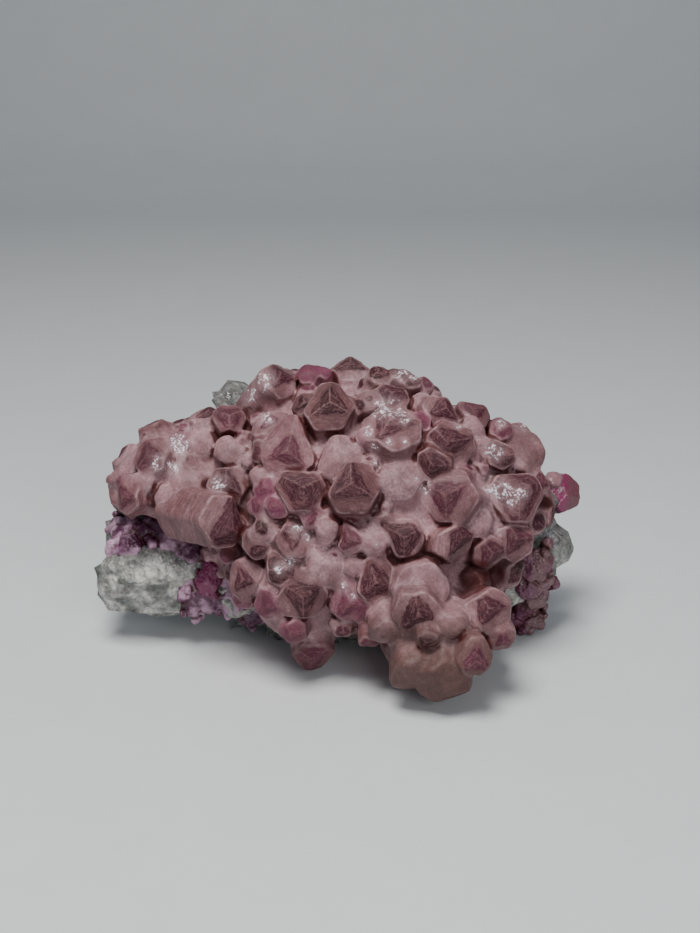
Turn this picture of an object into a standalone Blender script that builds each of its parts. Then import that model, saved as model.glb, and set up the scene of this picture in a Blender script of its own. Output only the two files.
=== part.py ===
"""Cobaltoan calcite specimen: blunt pink calcite crystals grown in a crust on a lump of matrix rock.

Lengths are millimetres until a mesh is stored, which scales it to metres. +Z is up, the specimen
stands on the flat under its rock at z = 0, and -Y is the display side.
"""

import math
import random
from typing import NamedTuple

import bmesh
import bpy
from mathutils import Matrix, Vector, noise

METRES = 0.001  # one millimetre

# The display plane faces a viewer who looks a little down at the specimen. Across (right) and up
# on that plane, in millimetres, say where a thing shows; a sight line carries it onto the form.
EYE = Vector((1.9, -241.2, 126.2))
NOD = math.radians(20.6)  # how far the sight axis looks down
SIGHT_LENGTH = 262.5  # from the eye to the display plane
RIGHT = Vector((1, 0, 0))
AHEAD = Vector((0, math.cos(NOD), -math.sin(NOD)))
UPWARD = Vector((0, math.sin(NOD), math.cos(NOD)))
NEAR_SIDE, FAR_SIDE, SIGHT_STEP = 200.0, 300.0, 0.5  # where a sight line is searched

# Smooth lobes: (centre, radii). The crystals' tips lie on the first set.
TIP_LOBES = (
    ((5.0, 3.0, 24.5), (35.0, 23.5, 26.5)),  # the main dome
    ((-8.0, 9.0, 30.5), (17.0, 15.0, 21.5)),  # the top, left
    ((8.0, 9.0, 31.0), (16.0, 15.0, 21.5)),  # the top, right
    ((26.0, 6.0, 26.0), (14.0, 13.0, 16.0)),  # the right shoulder
    ((-29.0, 6.0, 31.0), (16.0, 14.0, 11.5)),  # the left shoulder
    ((-6.0, -9.0, 14.0), (13.0, 13.5, 11.5)),  # the front edge
    ((17.5, -17.0, 10.5), (14.0, 14.5, 12.5)),  # the foot at the front
)
ROCK_LOBES = (
    ((-36.0, 4.0, 12.0), (10.5, 10.0, 9.0)),  # the bare left end
    ((-22.0, 6.0, 11.0), (14.0, 10.0, 10.0)),  # the left end's root
    ((-33.0, 12.0, 18.0), (12.0, 9.0, 10.0)),  # what carries the left shoulder
    ((6.0, 9.0, 10.0), (30.0, 17.0, 14.0)),  # what it stands on
    ((-4.0, 15.0, 24.0), (26.0, 12.5, 17.0)),  # the back
    ((-20.0, 18.0, 37.0), (6.0, 6.0, 8.0)),  # the bare corner at the top
    ((31.8, 7.0, 17.5), (12.0, 11.0, 13.0)),  # the right edge
)
LOBE_BLEND = 4.0  # how widely lobes run into each other
COAT_DEPTH = 3.4  # how far the crystals stand out of the crust that joins them
COAT_CENTRE = Vector((2.0, 4.0, 21.0))
ROCK_CENTRE = Vector((-2.0, 9.0, 17.0))
RAY_REACH = 90.0  # longer than any ray from a centre to the surface
COAT_DIVISIONS, ROCK_DIVISIONS = 4, 4  # of the ball that a lump starts from
ROCK_BREAK = 3.0  # depth of the rock's broken faces
ROCK_BREAK_SIZE = 7.0
ROCK_RIPPLE = 0.6  # share of the break that is rounded
ROCK_GAP = 0.6  # between the rock and the crusts on it
DRUSE_GAP = 0.4  # between the pink crystals and the magenta crusts

CAP_SLOPE = math.radians(26.0)  # each of a crystal's three cap faces
CAP_TRIM = 0.05  # the barrel's flat top stands this far over the caps that cut it off
FLARE = 0.10  # how much wider a crystal's foot is than its rim


class Crystal(NamedTuple):
    """One crystal: where its tip shows, its size, and the way its axis leans from the sight line."""

    across: float
    up: float
    radius: float
    length: float
    lean_right: float = 0.0
    lean_up: float = 0.0
    turn: float = 0.0  # of its three ridges; one points up at 0
    rise: float = 0.0  # how far the tip stands above the lobes


PINK_CRYSTALS = (
    # left shoulder
    Crystal(-38.2, 2.6, 4.0, 9, -0.45, 0.45, 20, 0.8),
    Crystal(-32.5, 5.0, 2.6, 7, -0.1, 0.5, 0, 0.3),
    Crystal(-31.2, 7.8, 1.3, 5, 0.0, 0.8, 30, 0.2),
    Crystal(-26.8, 10.6, 3.8, 14, -0.1, 1.6, 10, 2.2),
    Crystal(-22.4, 9.6, 3.1, 10, 0.1, 0.6, 60, 1.4),
    Crystal(-43.4, -2.4, 1.5, 6, -0.9, 0.3, 0, 0.2),
    Crystal(-43.0, -5.6, 3.5, 12, -0.8, 0.0, 30, 1.2),
    Crystal(-23.4, -3.6, 3.9, 9, -0.15, 0.1, 0, 0.8),
    Crystal(-22.4, -11.2, 4.8, 17, 0.85, -0.15, 0, 2.0),
    Crystal(-31.4, -2.4, 4.0, 7, -0.2, 0.3, 30),
    Crystal(-35.0, -5.2, 2.8, 7, -0.2, 0.1, 0, -0.4),
    Crystal(-18.9, 1.4, 1.7, 5, 0.0, 0.2, 0, 0.2),
    Crystal(-16.9, -1.6, 2.0, 5, 0.0, 0.3, 45, 0.2),
    Crystal(-28.2, 5.4, 3.6, 8, -0.1, 0.4, 0, 0.4),
    Crystal(-22.4, 3.4, 3.2, 7, 0.0, 0.3, 20),
    Crystal(-39.6, -2.4, 2.6, 7, -0.3, 0.2, 10),
    Crystal(-23.0, -16.6, 2.3, 8, -0.3, -0.2, 0, -1.2),
    # top
    Crystal(-12.8, 17.4, 4.3, 13, 0.7, 0.85, 20, 1.5),
    Crystal(-7.9, 18.0, 2.5, 8, 0.0, 0.7, 0, 0.4),
    Crystal(-5.0, 18.2, 1.8, 7, 0.1, 0.8, 40, 0.4),
    Crystal(0.3, 20.0, 4.6, 12, 0.0, 1.7, 0, 1.0),
    Crystal(-4.2, 12.0, 4.9, 13, 0.0, 0.5, 3, 3.0),
    Crystal(1.6, 12.0, 2.3, 7, 0.4, 0.6, 30, 0.2),
    Crystal(-8.8, 12.2, 2.8, 8, -0.3, 0.5, 15, 1.2),
    Crystal(-11.8, 3.9, 6.0, 10, -0.1, 0.2, -10, 1.2),
    Crystal(-15.4, 8.6, 4.0, 9, -0.15, 0.6, 20, 0.9),
    Crystal(-16.9, 2.4, 2.3, 6, -0.2, -0.2, 20, 0.6),
    Crystal(-2.6, 1.4, 4.3, 8, -0.1, 0.2, 10, 0.3),
    Crystal(5.6, 18.0, 2.8, 8, 0.0, 1.3, 20, 0.6),
    Crystal(9.0, 18.2, 2.0, 8, 0.1, 1.4, 50, 0.8),
    Crystal(11.4, 17.0, 2.6, 8, 0.2, 1.1, 10, 0.6),
    Crystal(14.6, 15.9, 1.8, 6, 0.4, 0.8, 0, 0.3),
    Crystal(7.9, 13.8, 3.5, 9, 0.1, 0.6, 45, 1.2),
    Crystal(13.4, 12.6, 2.6, 7, 0.1, 0.5, 30, 0.5),
    Crystal(18.1, 10.9, 4.0, 12, 0.55, 0.35, -10, 1.4),
    Crystal(23.8, 10.8, 3.5, 10, 0.4, 0.7, 50, 1.0),
    Crystal(23.3, 7.8, 3.1, 8, 0.2, 0.3, 0, 0.6),
    Crystal(18.9, 4.8, 5.2, 10, 0.1, 0.1, 40, 1.2),
    Crystal(8.0, 9.2, 5.8, 14, 0.0, 1.0, 30, 2.0),
    Crystal(13.2, 8.6, 2.3, 7, 0.1, 0.3, 20, 0.6),
    Crystal(2.6, 6.2, 2.1, 6, -0.2, 0.4, 0, 0.4),
    Crystal(15.6, 0.2, 3.7, 8, -0.1, -0.2, 30, 0.5),
    Crystal(9.2, -1.6, 4.6, 8, 0.0, 0.3, 0, 0.2),
    Crystal(28.3, 7.8, 2.8, 8, 0.2, 0.7, 25, 0.5),
    Crystal(32.3, 7.2, 2.2, 8, 0.3, 0.9, 0, 0.4),
    Crystal(33.6, 3.2, 4.8, 10, 0.45, 0.25, 35, 0.8),
    Crystal(28.6, 2.3, 2.9, 8, 0.05, 0.0, 35, 1.4),
    Crystal(3.4, 12.8, 2.8, 8, -0.1, 0.5, 0, 0.5),
    Crystal(24.6, 3.6, 2.8, 8, 0.1, 0.1, 20, -0.2),
    Crystal(36.0, -2.6, 3.0, 9, 0.6, 0.2, 10),
    # middle
    Crystal(0.5, -3.4, 5.1, 11, 0.05, 0.3, 0, 2.2),
    Crystal(-9.0, -4.0, 4.5, 10, 0.0, 0.2, 60, 1.2),
    Crystal(-15.7, -3.8, 2.9, 7, -0.2, 0.2, 10, 0.4),
    Crystal(-17.8, -7.2, 2.5, 6, -0.3, 0.0, 40, 0.2),
    Crystal(-13.5, -7.2, 2.6, 6, 0.0, 0.1, 0, 0.2),
    Crystal(-4.2, -10.4, 2.4, 8, 0.1, 0.5, 20, 0.6),
    Crystal(-16.6, -11.2, 3.3, 8, -0.2, 0.2, 0, 0.6),
    Crystal(-17.1, -15.2, 3.0, 8, 0.0, -0.25, 15, 0.6),
    Crystal(-19.2, -13.4, 1.5, 5, -0.3, 0.0, 0, 0.3),
    Crystal(-10.6, -13.2, 3.8, 9, 0.1, 0.3, 60, 0.8),
    Crystal(-11.6, -19.2, 4.2, 9, 0.05, 0.0, -30, 0.9),
    Crystal(-20.2, -21.6, 4.1, 10, -0.3, -0.1, 20, 0.9),
    Crystal(-5.2, -17.9, 4.6, 8, 0.0, 0.2, 30, 0.5),
    Crystal(-3.8, -21.6, 2.0, 6, 0.0, -0.2, 0, 0.3),
    Crystal(-0.3, -13.6, 3.1, 8, -0.2, 0.0, 20, 0.5),
    Crystal(18.4, -5.6, 5.2, 11, -0.25, 0.05, 60, 1.2),
    Crystal(10.1, -13.6, 4.0, 9, 0.0, 0.0, 60, 0.6),
    Crystal(21.0, -14.0, 4.4, 15, 0.75, -0.05, 30, 1.5),
    Crystal(4.4, -13.2, 3.2, 7, 0.0, 0.2, 10, 0.2),
    Crystal(5.3, -21.4, 4.6, 10, 0.1, 0.0, 15, 1.2),
    Crystal(13.9, -20.4, 3.4, 8, 0.0, 0.1, 40, 0.6),
    Crystal(31.0, -4.8, 6.0, 12, 0.15, 0.2, 60, 0.8),
    Crystal(31.4, -14.2, 4.0, 10, 0.2, 0.0, 30, 0.8),
    Crystal(26.8, -16.6, 3.5, 12, 0.45, -0.3, 40, 0.6),
    Crystal(24.0, -10.8, 3.0, 8, 0.1, 0.0, 0),
    Crystal(35.4, -10.2, 3.0, 9, 0.5, 0.0, 0, 0.2),
    Crystal(-7.0, -9.6, 2.4, 7, 0.0, 0.0, 0),
    Crystal(-14.6, -22.6, 2.8, 8, -0.1, -0.1, 0, 0.2),
    Crystal(1.0, -18.4, 2.6, 7, 0.0, 0.1, 30),
    # bottom
    Crystal(-9.0, -24.6, 4.7, 10, 0.0, -0.2, 60, 1.0),
    Crystal(-15.4, -26.6, 3.5, 9, -0.3, -0.4, 10, 0.4),
    Crystal(-11.0, -31.6, 2.8, 9, -0.25, -0.5, 30, 0.4),
    Crystal(-7.2, -36.4, 4.5, 13, 0.1, -0.8, 60, 0.4),
    Crystal(-0.5, -25.2, 4.3, 10, -0.1, -0.1, 20, 0.9),
    Crystal(-1.4, -30.8, 2.4, 8, 0.0, -0.5, 0, 0.3),
    Crystal(11.8, -24.2, 2.1, 8, -0.1, 0.0, 30, 1.2),
    Crystal(14.2, -24.4, 4.9, 10, 0.1, -0.1, 10, 1.0),
    Crystal(13.0, -28.8, 4.6, 12, 0.0, -0.35, 10, 1.2),
    Crystal(14.5, -33.4, 2.4, 9, 0.0, -0.6, 30, 0.2),
    Crystal(4.2, -27.8, 3.9, 9, 0.0, -0.25, 0, 0.4),
    Crystal(7.0, -32.0, 3.4, 9, 0.0, -0.7, 40, 0.2),
    Crystal(3.6, -33.4, 2.3, 8, 0.0, -0.9, 0, 0.2),
    Crystal(11.4, -40.6, 5.2, 16, -0.1, -0.9, 10, 0.6),
    Crystal(18.2, -42.8, 5.2, 17, 0.1, -1.0, 30, 0.8),
    Crystal(24.2, -36.6, 3.6, 12, 0.35, -0.2, 0, 1.5),
    Crystal(26.6, -26.8, 4.7, 12, 0.2, 0.1, 30, 1.6),
    Crystal(28.6, -33.0, 2.9, 10, 0.2, -0.5, 10, 0.4),
    Crystal(31.8, -25.2, 2.4, 9, 0.5, -0.1, 0, 0.2),
    Crystal(30.6, -20.4, 2.8, 9, 0.4, 0.0, 20),
    Crystal(19.4, -30.4, 3.0, 9, 0.1, -0.3, 0, 0.2),
    Crystal(-20.4, -25.4, 2.4, 8, -0.3, -0.4, 0, 0.2),
)
LEFT_DRUSE = (
    Crystal(-44.6, -10.8, 1.9, 7, -0.6, 0.3),
    Crystal(-43.2, -13.0, 2.8, 7, -0.4, 0.3),
    Crystal(-45.2, -15.2, 2.3, 7, -0.5, 0.1, 20),
    Crystal(-41.2, -11.2, 3.0, 7, -0.2, 0.6, 30),
    Crystal(-41.8, -15.2, 2.4, 6, -0.1, 0.2, 10),
    Crystal(-38.4, -11.6, 3.2, 7, 0.0, 0.6, 15),
    Crystal(-35.4, -11.4, 3.0, 7, 0.1, 0.5, 45),
    Crystal(-34.0, -13.9, 2.3, 6, 0.0, 0.3, 0),
    Crystal(-31.2, -14.8, 2.6, 7, 0.0, 0.3, 25),
    Crystal(-28.6, -16.4, 2.8, 7, 0.1, 0.1, 5),
    Crystal(-25.8, -18.7, 2.8, 8, 0.0, 0.2, 30, 1.2),
    Crystal(-27.0, -21.8, 2.7, 8, -0.1, -0.1, 0, 1.0),
    Crystal(-29.3, -24.4, 2.6, 7, -0.2, -0.2, 40),
    Crystal(-26.3, -25.8, 2.8, 7, 0.0, -0.3, 20),
    Crystal(-23.2, -24.6, 3.0, 7, 0.0, -0.2, 0),
    Crystal(-20.6, -26.8, 2.7, 7, 0.1, -0.4, 30),
    Crystal(-17.6, -28.4, 2.6, 7, 0.1, -0.5, 10),
    Crystal(-23.6, -21.4, 2.7, 7, 0.0, 0.0, 15),
    Crystal(-30.2, -27.2, 2.0, 6, -0.2, -0.5, 0),
)
RIGHT_DRUSE = (
    Crystal(36.8, -17.4, 2.7, 8, 0.5, 0.2, 0),
    Crystal(34.6, -19.0, 2.9, 8, 0.2, 0.0, 25),
    Crystal(36.8, -21.0, 2.7, 8, 0.5, 0.0, 40),
    Crystal(34.0, -22.6, 2.9, 8, 0.2, -0.1, 10),
    Crystal(35.6, -24.8, 2.7, 8, 0.4, -0.2, 0),
    Crystal(33.4, -27.2, 3.0, 8, 0.2, -0.4, 30),
    Crystal(34.9, -27.8, 2.3, 8, 0.4, -0.4, 15),
    Crystal(31.6, -29.8, 2.6, 8, 0.1, -0.6, 0),
    Crystal(33.2, -30.2, 2.2, 8, 0.3, -0.7, 20),
)
MAGENTA_CRYSTAL = (
    Crystal(40.9, -4.9, 3.9, 9, 0.4, 0.1, 20),
    Crystal(38.6, -1.7, 1.8, 7, 0.3, 0.8, 0),
)
DRUSE_RISE = 1.6  # how far the druse's tips stand out of the rock

# Round the back and the sides the cluster ends in a fringe of crystals, set by a seeded draw.
FRINGE_SEED = 7
FRINGE_ROWS = (  # from which centre, how high round the form, between which bearings, how many
    ((2.0, 4.0, 21.0), 58.0, 25.0, 165.0, 7),
    ((2.0, 4.0, 21.0), 38.0, 5.0, 185.0, 11),
    ((2.0, 4.0, 21.0), 14.0, -20.0, 22.0, 4),
    ((2.0, 4.0, 21.0), 21.0, 20.0, 75.0, 4),
    ((-29.0, 6.0, 31.0), 48.0, 55.0, 150.0, 3),
    ((-29.0, 6.0, 31.0), 12.0, 90.0, 165.0, 4),
    ((-29.0, 6.0, 31.0), -24.0, 150.0, 200.0, 2),
    ((17.5, -17.0, 10.5), 26.0, 12.0, 60.0, 2),
    ((17.5, -17.0, 10.5), -8.0, 5.0, 50.0, 2),
)
FRINGE_RADII = (2.5, 4.2)
FRINGE_LEAN = 0.3
FRINGE_LENGTH = 8.0


def lobe_distance(point, lobe):
    """Distance in millimetres from a point to an ellipsoid, negative inside."""
    centre, radii = lobe
    offset = point - Vector(centre)
    near = Vector(offset[k] / radii[k] for k in range(3)).length
    slope = Vector(offset[k] / radii[k] ** 2 for k in range(3)).length
    return near * (near - 1.0) / max(slope, 1e-6)


def form_distance(point, lobes):
    """Distance to the lobes run together."""
    result = lobe_distance(point, lobes[0])
    for lobe in lobes[1:]:
        other = lobe_distance(point, lobe)
        share = max(LOBE_BLEND - abs(result - other), 0.0) / LOBE_BLEND
        result = min(result, other) - share * share * LOBE_BLEND / 4.0
    return result


def form_normal(point, lobes):
    """Which way the run-together lobes face near a point."""
    steps = [Vector((0.2 if k == axis else 0.0 for k in range(3))) for axis in range(3)]
    rise = [form_distance(point + s, lobes) - form_distance(point - s, lobes) for s in steps]
    return Vector(rise).normalized()


def on_sight_line(across, up, depth):
    """The point that shows at (across, up), so far from the eye."""
    scale = depth / SIGHT_LENGTH
    return EYE + AHEAD * depth + RIGHT * (across * scale) + UPWARD * (up * scale)


def drop_on_form(across, up, lobes, level):
    """Follow a sight line to where it comes within a level of the lobes, or passes nearest."""
    best = None
    depth = NEAR_SIDE
    while depth < FAR_SIDE:
        point = on_sight_line(across, up, depth)
        gap = form_distance(point, lobes)
        if best is None or gap < best[0]:
            best = (gap, point)
        if gap <= level:
            break
        depth += SIGHT_STEP
    return best[1]


def crystal_axis(crystal):
    """The way a crystal points: towards the eye, then leaned."""
    axis = -AHEAD + RIGHT * crystal.lean_right + UPWARD * crystal.lean_up
    return axis.normalized()


def cut(mesh, point, normal):
    """Take away what is in front of a plane and close the cut."""
    geometry = mesh.verts[:] + mesh.edges[:] + mesh.faces[:]
    found = bmesh.ops.bisect_plane(mesh, geom=geometry, plane_co=point, plane_no=normal,
                                   clear_outer=True, dist=1e-5)
    edges = [item for item in found["geom_cut"] if isinstance(item, bmesh.types.BMEdge)]
    bmesh.ops.holes_fill(mesh, edges=edges, sides=0)


def new_object(name, mesh_source, material=None):
    """Turn a bmesh into a scene object and free it."""
    data = bpy.data.meshes.new(name)
    bmesh.ops.recalc_face_normals(mesh_source, faces=mesh_source.faces[:])
    mesh_source.to_mesh(data)
    mesh_source.free()
    result = bpy.data.objects.new(name, data)
    bpy.context.scene.collection.objects.link(result)
    if material is not None:
        data.materials.append(material)
    return result


def crystal_solid(tip, axis, radius, length, turn, grow=0.0):
    """A six-sided crystal with three cap faces that meet at its tip."""
    mesh = bmesh.new()
    radius += grow
    length += 2 * grow
    bmesh.ops.create_cone(mesh, cap_ends=True, segments=6, radius1=radius * (1 + FLARE),
                          radius2=radius * (1 - FLARE / 2), depth=length,
                          matrix=Matrix.Translation((0, 0, CAP_TRIM - length / 2)))
    for number in range(3):
        angle = math.radians(30 + 120 * number)
        tilt = math.sin(CAP_SLOPE)
        normal = Vector((tilt * math.cos(angle), tilt * math.sin(angle), math.cos(CAP_SLOPE)))
        cut(mesh, Vector((0, 0, -CAP_TRIM)), normal)
    level = UPWARD - axis * UPWARD.dot(axis)
    if level.length < 0.1:
        level = -AHEAD
    level.normalize()
    level.rotate(Matrix.Rotation(math.radians(turn), 3, axis))
    side = level.cross(axis)
    place = Matrix((side, level, axis)).transposed().to_4x4()
    place.translation = tip + axis * (grow / math.cos(CAP_SLOPE))
    bmesh.ops.transform(mesh, matrix=place, verts=mesh.verts[:])
    return mesh


def ray_hit(centre, direction, lobes, level):
    """How far along a ray from the centre the lobes' distance reaches a level."""
    low, high = 0.0, RAY_REACH
    for _ in range(30):
        middle = (low + high) / 2
        if form_distance(centre + direction * middle, lobes) < level:
            low = middle
        else:
            high = middle
    return low


def lump(centre, lobes, level, divisions):
    """A ball drawn out onto the lobes."""
    mesh = bmesh.new()
    bmesh.ops.create_icosphere(mesh, subdivisions=divisions, radius=1.0)
    for vertex in mesh.verts:
        direction = vertex.co.normalized()
        vertex.co = centre + direction * ray_hit(centre, direction, lobes, level)
    return mesh


def grow_mesh(mesh, distance):
    """Move every vertex outwards."""
    mesh.normal_update()
    moved = [vertex.co + vertex.normal * distance for vertex in mesh.verts]
    for vertex, place in zip(mesh.verts, moved):
        vertex.co = place


def rock_mesh(grow=0.0):
    """The matrix rock, broken all over, with a flat to stand on."""
    mesh = lump(ROCK_CENTRE, ROCK_LOBES, 0.0, ROCK_DIVISIONS)
    for vertex in mesh.verts:
        outward = (vertex.co - ROCK_CENTRE).normalized()
        ledge = noise.cell(vertex.co / ROCK_BREAK_SIZE) - 0.5
        ripple = noise.noise(vertex.co / ROCK_BREAK_SIZE * 2.0)
        vertex.co += outward * ROCK_BREAK * (ledge + ROCK_RIPPLE * ripple)
    if grow:
        grow_mesh(mesh, grow)
        cut(mesh, Vector((0, 0, -grow)), Vector((0, 0, -1)))
    else:
        cut(mesh, Vector((0, 0, 0)), Vector((0, 0, -1)))
    return mesh


def boolean(target, other, operation):
    """Join or cut one object with another, and remove the other."""
    modifier = target.modifiers.new(operation, "BOOLEAN")
    modifier.operation = operation
    modifier.solver = "EXACT"
    modifier.object = other
    bpy.context.view_layer.objects.active = target
    bpy.ops.object.modifier_apply(modifier=modifier.name)
    bpy.data.objects.remove(other)


def join_all(target, others):
    """Join many solids to one."""
    group = bpy.data.collections.new("joining")
    bpy.context.scene.collection.children.link(group)
    for other in others:
        group.objects.link(other)
    modifier = target.modifiers.new("join", "BOOLEAN")
    modifier.operation = "UNION"
    modifier.solver = "EXACT"
    modifier.operand_type = "COLLECTION"
    modifier.collection = group
    bpy.context.view_layer.objects.active = target
    bpy.ops.object.modifier_apply(modifier=modifier.name)
    for other in others:
        bpy.data.objects.remove(other)
    bpy.data.collections.remove(group)


def keep_largest(target):
    """Drop crumbs and inner shells, so that one closed body is left."""
    mesh = bmesh.new()
    mesh.from_mesh(target.data)
    bmesh.ops.remove_doubles(mesh, verts=mesh.verts[:], dist=1e-4)
    waiting = set(mesh.faces)
    groups = []
    while waiting:
        group = set()
        border = [waiting.pop()]
        while border:
            face = border.pop()
            group.add(face)
            for edge in face.edges:
                for neighbour in edge.link_faces:
                    if neighbour in waiting:
                        waiting.remove(neighbour)
                        border.append(neighbour)
        groups.append(group)
    largest = max(groups, key=len)
    crumbs = [face for face in mesh.faces if face not in largest]
    bmesh.ops.delete(mesh, geom=crumbs, context="FACES")
    mesh.to_mesh(target.data)
    mesh.free()
    print(target.name, "pieces", len(groups), "faces", len(largest))


def fringe_places():
    """Tip, axis, radius and turn of each crystal of the fringe."""
    draw = random.Random(FRINGE_SEED)
    for centre, height, first, last, count in FRINGE_ROWS:
        for number in range(count):
            bearing = first + (last - first) * (number + draw.uniform(0.25, 0.75)) / count
            around = math.radians(bearing)
            above = math.radians(height + draw.uniform(-7.0, 7.0))
            direction = Vector((math.cos(around) * math.cos(above),
                                math.sin(around) * math.cos(above), math.sin(above)))
            reach = ray_hit(Vector(centre), direction, TIP_LOBES, 0.0)
            tip = Vector(centre) + direction * reach
            lean = Vector((draw.uniform(-1, 1), draw.uniform(-1, 1), draw.uniform(-0.4, 1)))
            axis = (form_normal(tip, TIP_LOBES) + lean * FRINGE_LEAN).normalized()
            yield tip, axis, draw.uniform(*FRINGE_RADII), draw.uniform(0, 120)


def placed(crystal, lobes, rise=0.0):
    """Tip and axis of one crystal of a table."""
    tip = drop_on_form(crystal.across, crystal.up, lobes, rise + crystal.rise)
    return tip, crystal_axis(crystal)


def table_crystals(table, lobes, rise=0.0, grow=0.0):
    """Every crystal of a table as a solid of its own."""
    solids = []
    for crystal in table:
        tip, axis = placed(crystal, lobes, rise)
        mesh = crystal_solid(tip, axis, crystal.radius, crystal.length, crystal.turn, grow)
        solids.append(new_object("crystal", mesh))
    return solids


def fringe_crystals(grow=0.0):
    """Every crystal of the fringe as a solid of its own."""
    solids = []
    for tip, axis, radius, turn in fringe_places():
        mesh = crystal_solid(tip, axis, radius, FRINGE_LENGTH, turn, grow)
        solids.append(new_object("crystal", mesh))
    return solids


def crystal_cluster(name, grow=0.0, material=None):
    """The crust with all its crystals, one solid with a flat where it touches down."""
    coat = lump(COAT_CENTRE, TIP_LOBES, grow - COAT_DEPTH, COAT_DIVISIONS)
    result = new_object(name, coat, material)
    join_all(result, table_crystals(PINK_CRYSTALS, TIP_LOBES, 0.0, grow) + fringe_crystals(grow))
    return result


def druse(name, table, lobes, rise, material):
    """A crust of small crystals on the rock, clear of the rock and the pink crystals."""
    first, *others = table_crystals(table, lobes, rise)
    first.name = name
    first.data.materials.append(material)
    if others:
        join_all(first, others)
    boolean(first, new_object("clearance", rock_mesh(ROCK_GAP)), "DIFFERENCE")
    boolean(first, crystal_cluster("clearance", DRUSE_GAP), "DIFFERENCE")
    keep_largest(first)
    level_off(first)
    return first


def level_off(target):
    """Cut a solid off flat at the table."""
    mesh = bmesh.new()
    mesh.from_mesh(target.data)
    cut(mesh, Vector((0, 0, 0)), Vector((0, 0, -1)))
    mesh.to_mesh(target.data)
    mesh.free()


def make_material(name, colour, roughness):
    """A plain surface."""
    result = bpy.data.materials.new(name)
    result.use_nodes = True
    shader = result.node_tree.nodes["Principled BSDF"]
    shader.inputs["Base Color"].default_value = (*colour, 1.0)
    shader.inputs["Roughness"].default_value = roughness
    return result


def store(target):
    """Scale a finished solid to metres."""
    target.data.transform(Matrix.Scale(METRES, 4))
    target.data.update()


def main():
    for item in list(bpy.data.objects):
        bpy.data.objects.remove(item)
    stone = make_material("pale matrix", (0.42, 0.44, 0.41), 0.7)
    pink = make_material("pink calcite", (0.50, 0.26, 0.28), 0.35)
    purple = make_material("purple druse", (0.22, 0.07, 0.17), 0.4)
    magenta = make_material("magenta calcite", (0.42, 0.05, 0.16), 0.2)
    rock = new_object("matrix_rock", rock_mesh(), stone)
    cluster = crystal_cluster("crystal_cluster", material=pink)
    boolean(cluster, new_object("clearance", rock_mesh(ROCK_GAP)), "DIFFERENCE")
    keep_largest(cluster)
    level_off(cluster)
    left = druse("magenta_druse_left", LEFT_DRUSE, ROCK_LOBES, DRUSE_RISE, purple)
    right = druse("magenta_druse_right", RIGHT_DRUSE, ROCK_LOBES, DRUSE_RISE, purple)
    single = druse("magenta_crystal", MAGENTA_CRYSTAL, ROCK_LOBES, DRUSE_RISE, magenta)
    for item in (rock, cluster, left, right, single):
        store(item)


main()
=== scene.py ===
"""Looks of the cobaltoan calcite specimen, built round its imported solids.

The crystals and crusts are worked out as distance fields in millimetres and drawn out as meshes
that carry, as attributes, what their finishes need. Each piece stands for one node of the frame.
"""

import math
import random
from typing import NamedTuple

import bpy
import numpy as np
from bpy.props import FloatProperty, FloatVectorProperty, IntProperty, PointerProperty
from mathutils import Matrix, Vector, noise


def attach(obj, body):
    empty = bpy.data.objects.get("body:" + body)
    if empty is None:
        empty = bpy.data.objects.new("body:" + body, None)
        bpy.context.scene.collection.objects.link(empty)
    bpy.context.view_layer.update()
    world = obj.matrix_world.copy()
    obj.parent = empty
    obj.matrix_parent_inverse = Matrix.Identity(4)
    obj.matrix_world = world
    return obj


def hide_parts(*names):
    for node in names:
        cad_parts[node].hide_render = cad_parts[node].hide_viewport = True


bl_info = {
    "name": "Cobaltoan calcite specimen",
    "version": (1, 0, 0),
    "blender": (4, 5, 0),
    "location": "View3D > Sidebar > Calcite",
    "description": "Builds the crystals, crusts and rock of a cobaltoan calcite specimen",
    "category": "Object",
}

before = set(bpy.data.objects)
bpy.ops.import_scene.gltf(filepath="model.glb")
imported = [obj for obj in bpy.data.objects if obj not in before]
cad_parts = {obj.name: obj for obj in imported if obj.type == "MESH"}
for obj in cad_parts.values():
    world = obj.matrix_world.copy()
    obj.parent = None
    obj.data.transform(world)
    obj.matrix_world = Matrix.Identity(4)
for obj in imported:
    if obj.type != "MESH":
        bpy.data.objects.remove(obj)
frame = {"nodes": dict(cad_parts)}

MM = 0.001  # one millimetre in metres

# Places are given across and up on a display plane that faces a viewer, in millimetres, and
# come to lie on the form along the viewer's lines of sight.
EYE = np.array((1.9, -241.2, 126.2))
NOD = math.radians(20.6)
SIGHT_LENGTH = 262.5
RIGHT = np.array((1.0, 0.0, 0.0))
AHEAD = np.array((0.0, math.cos(NOD), -math.sin(NOD)))
UPWARD = np.array((0.0, math.sin(NOD), math.cos(NOD)))
SIGHT_DEPTHS = np.arange(200.0, 300.0, 0.5)

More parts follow.
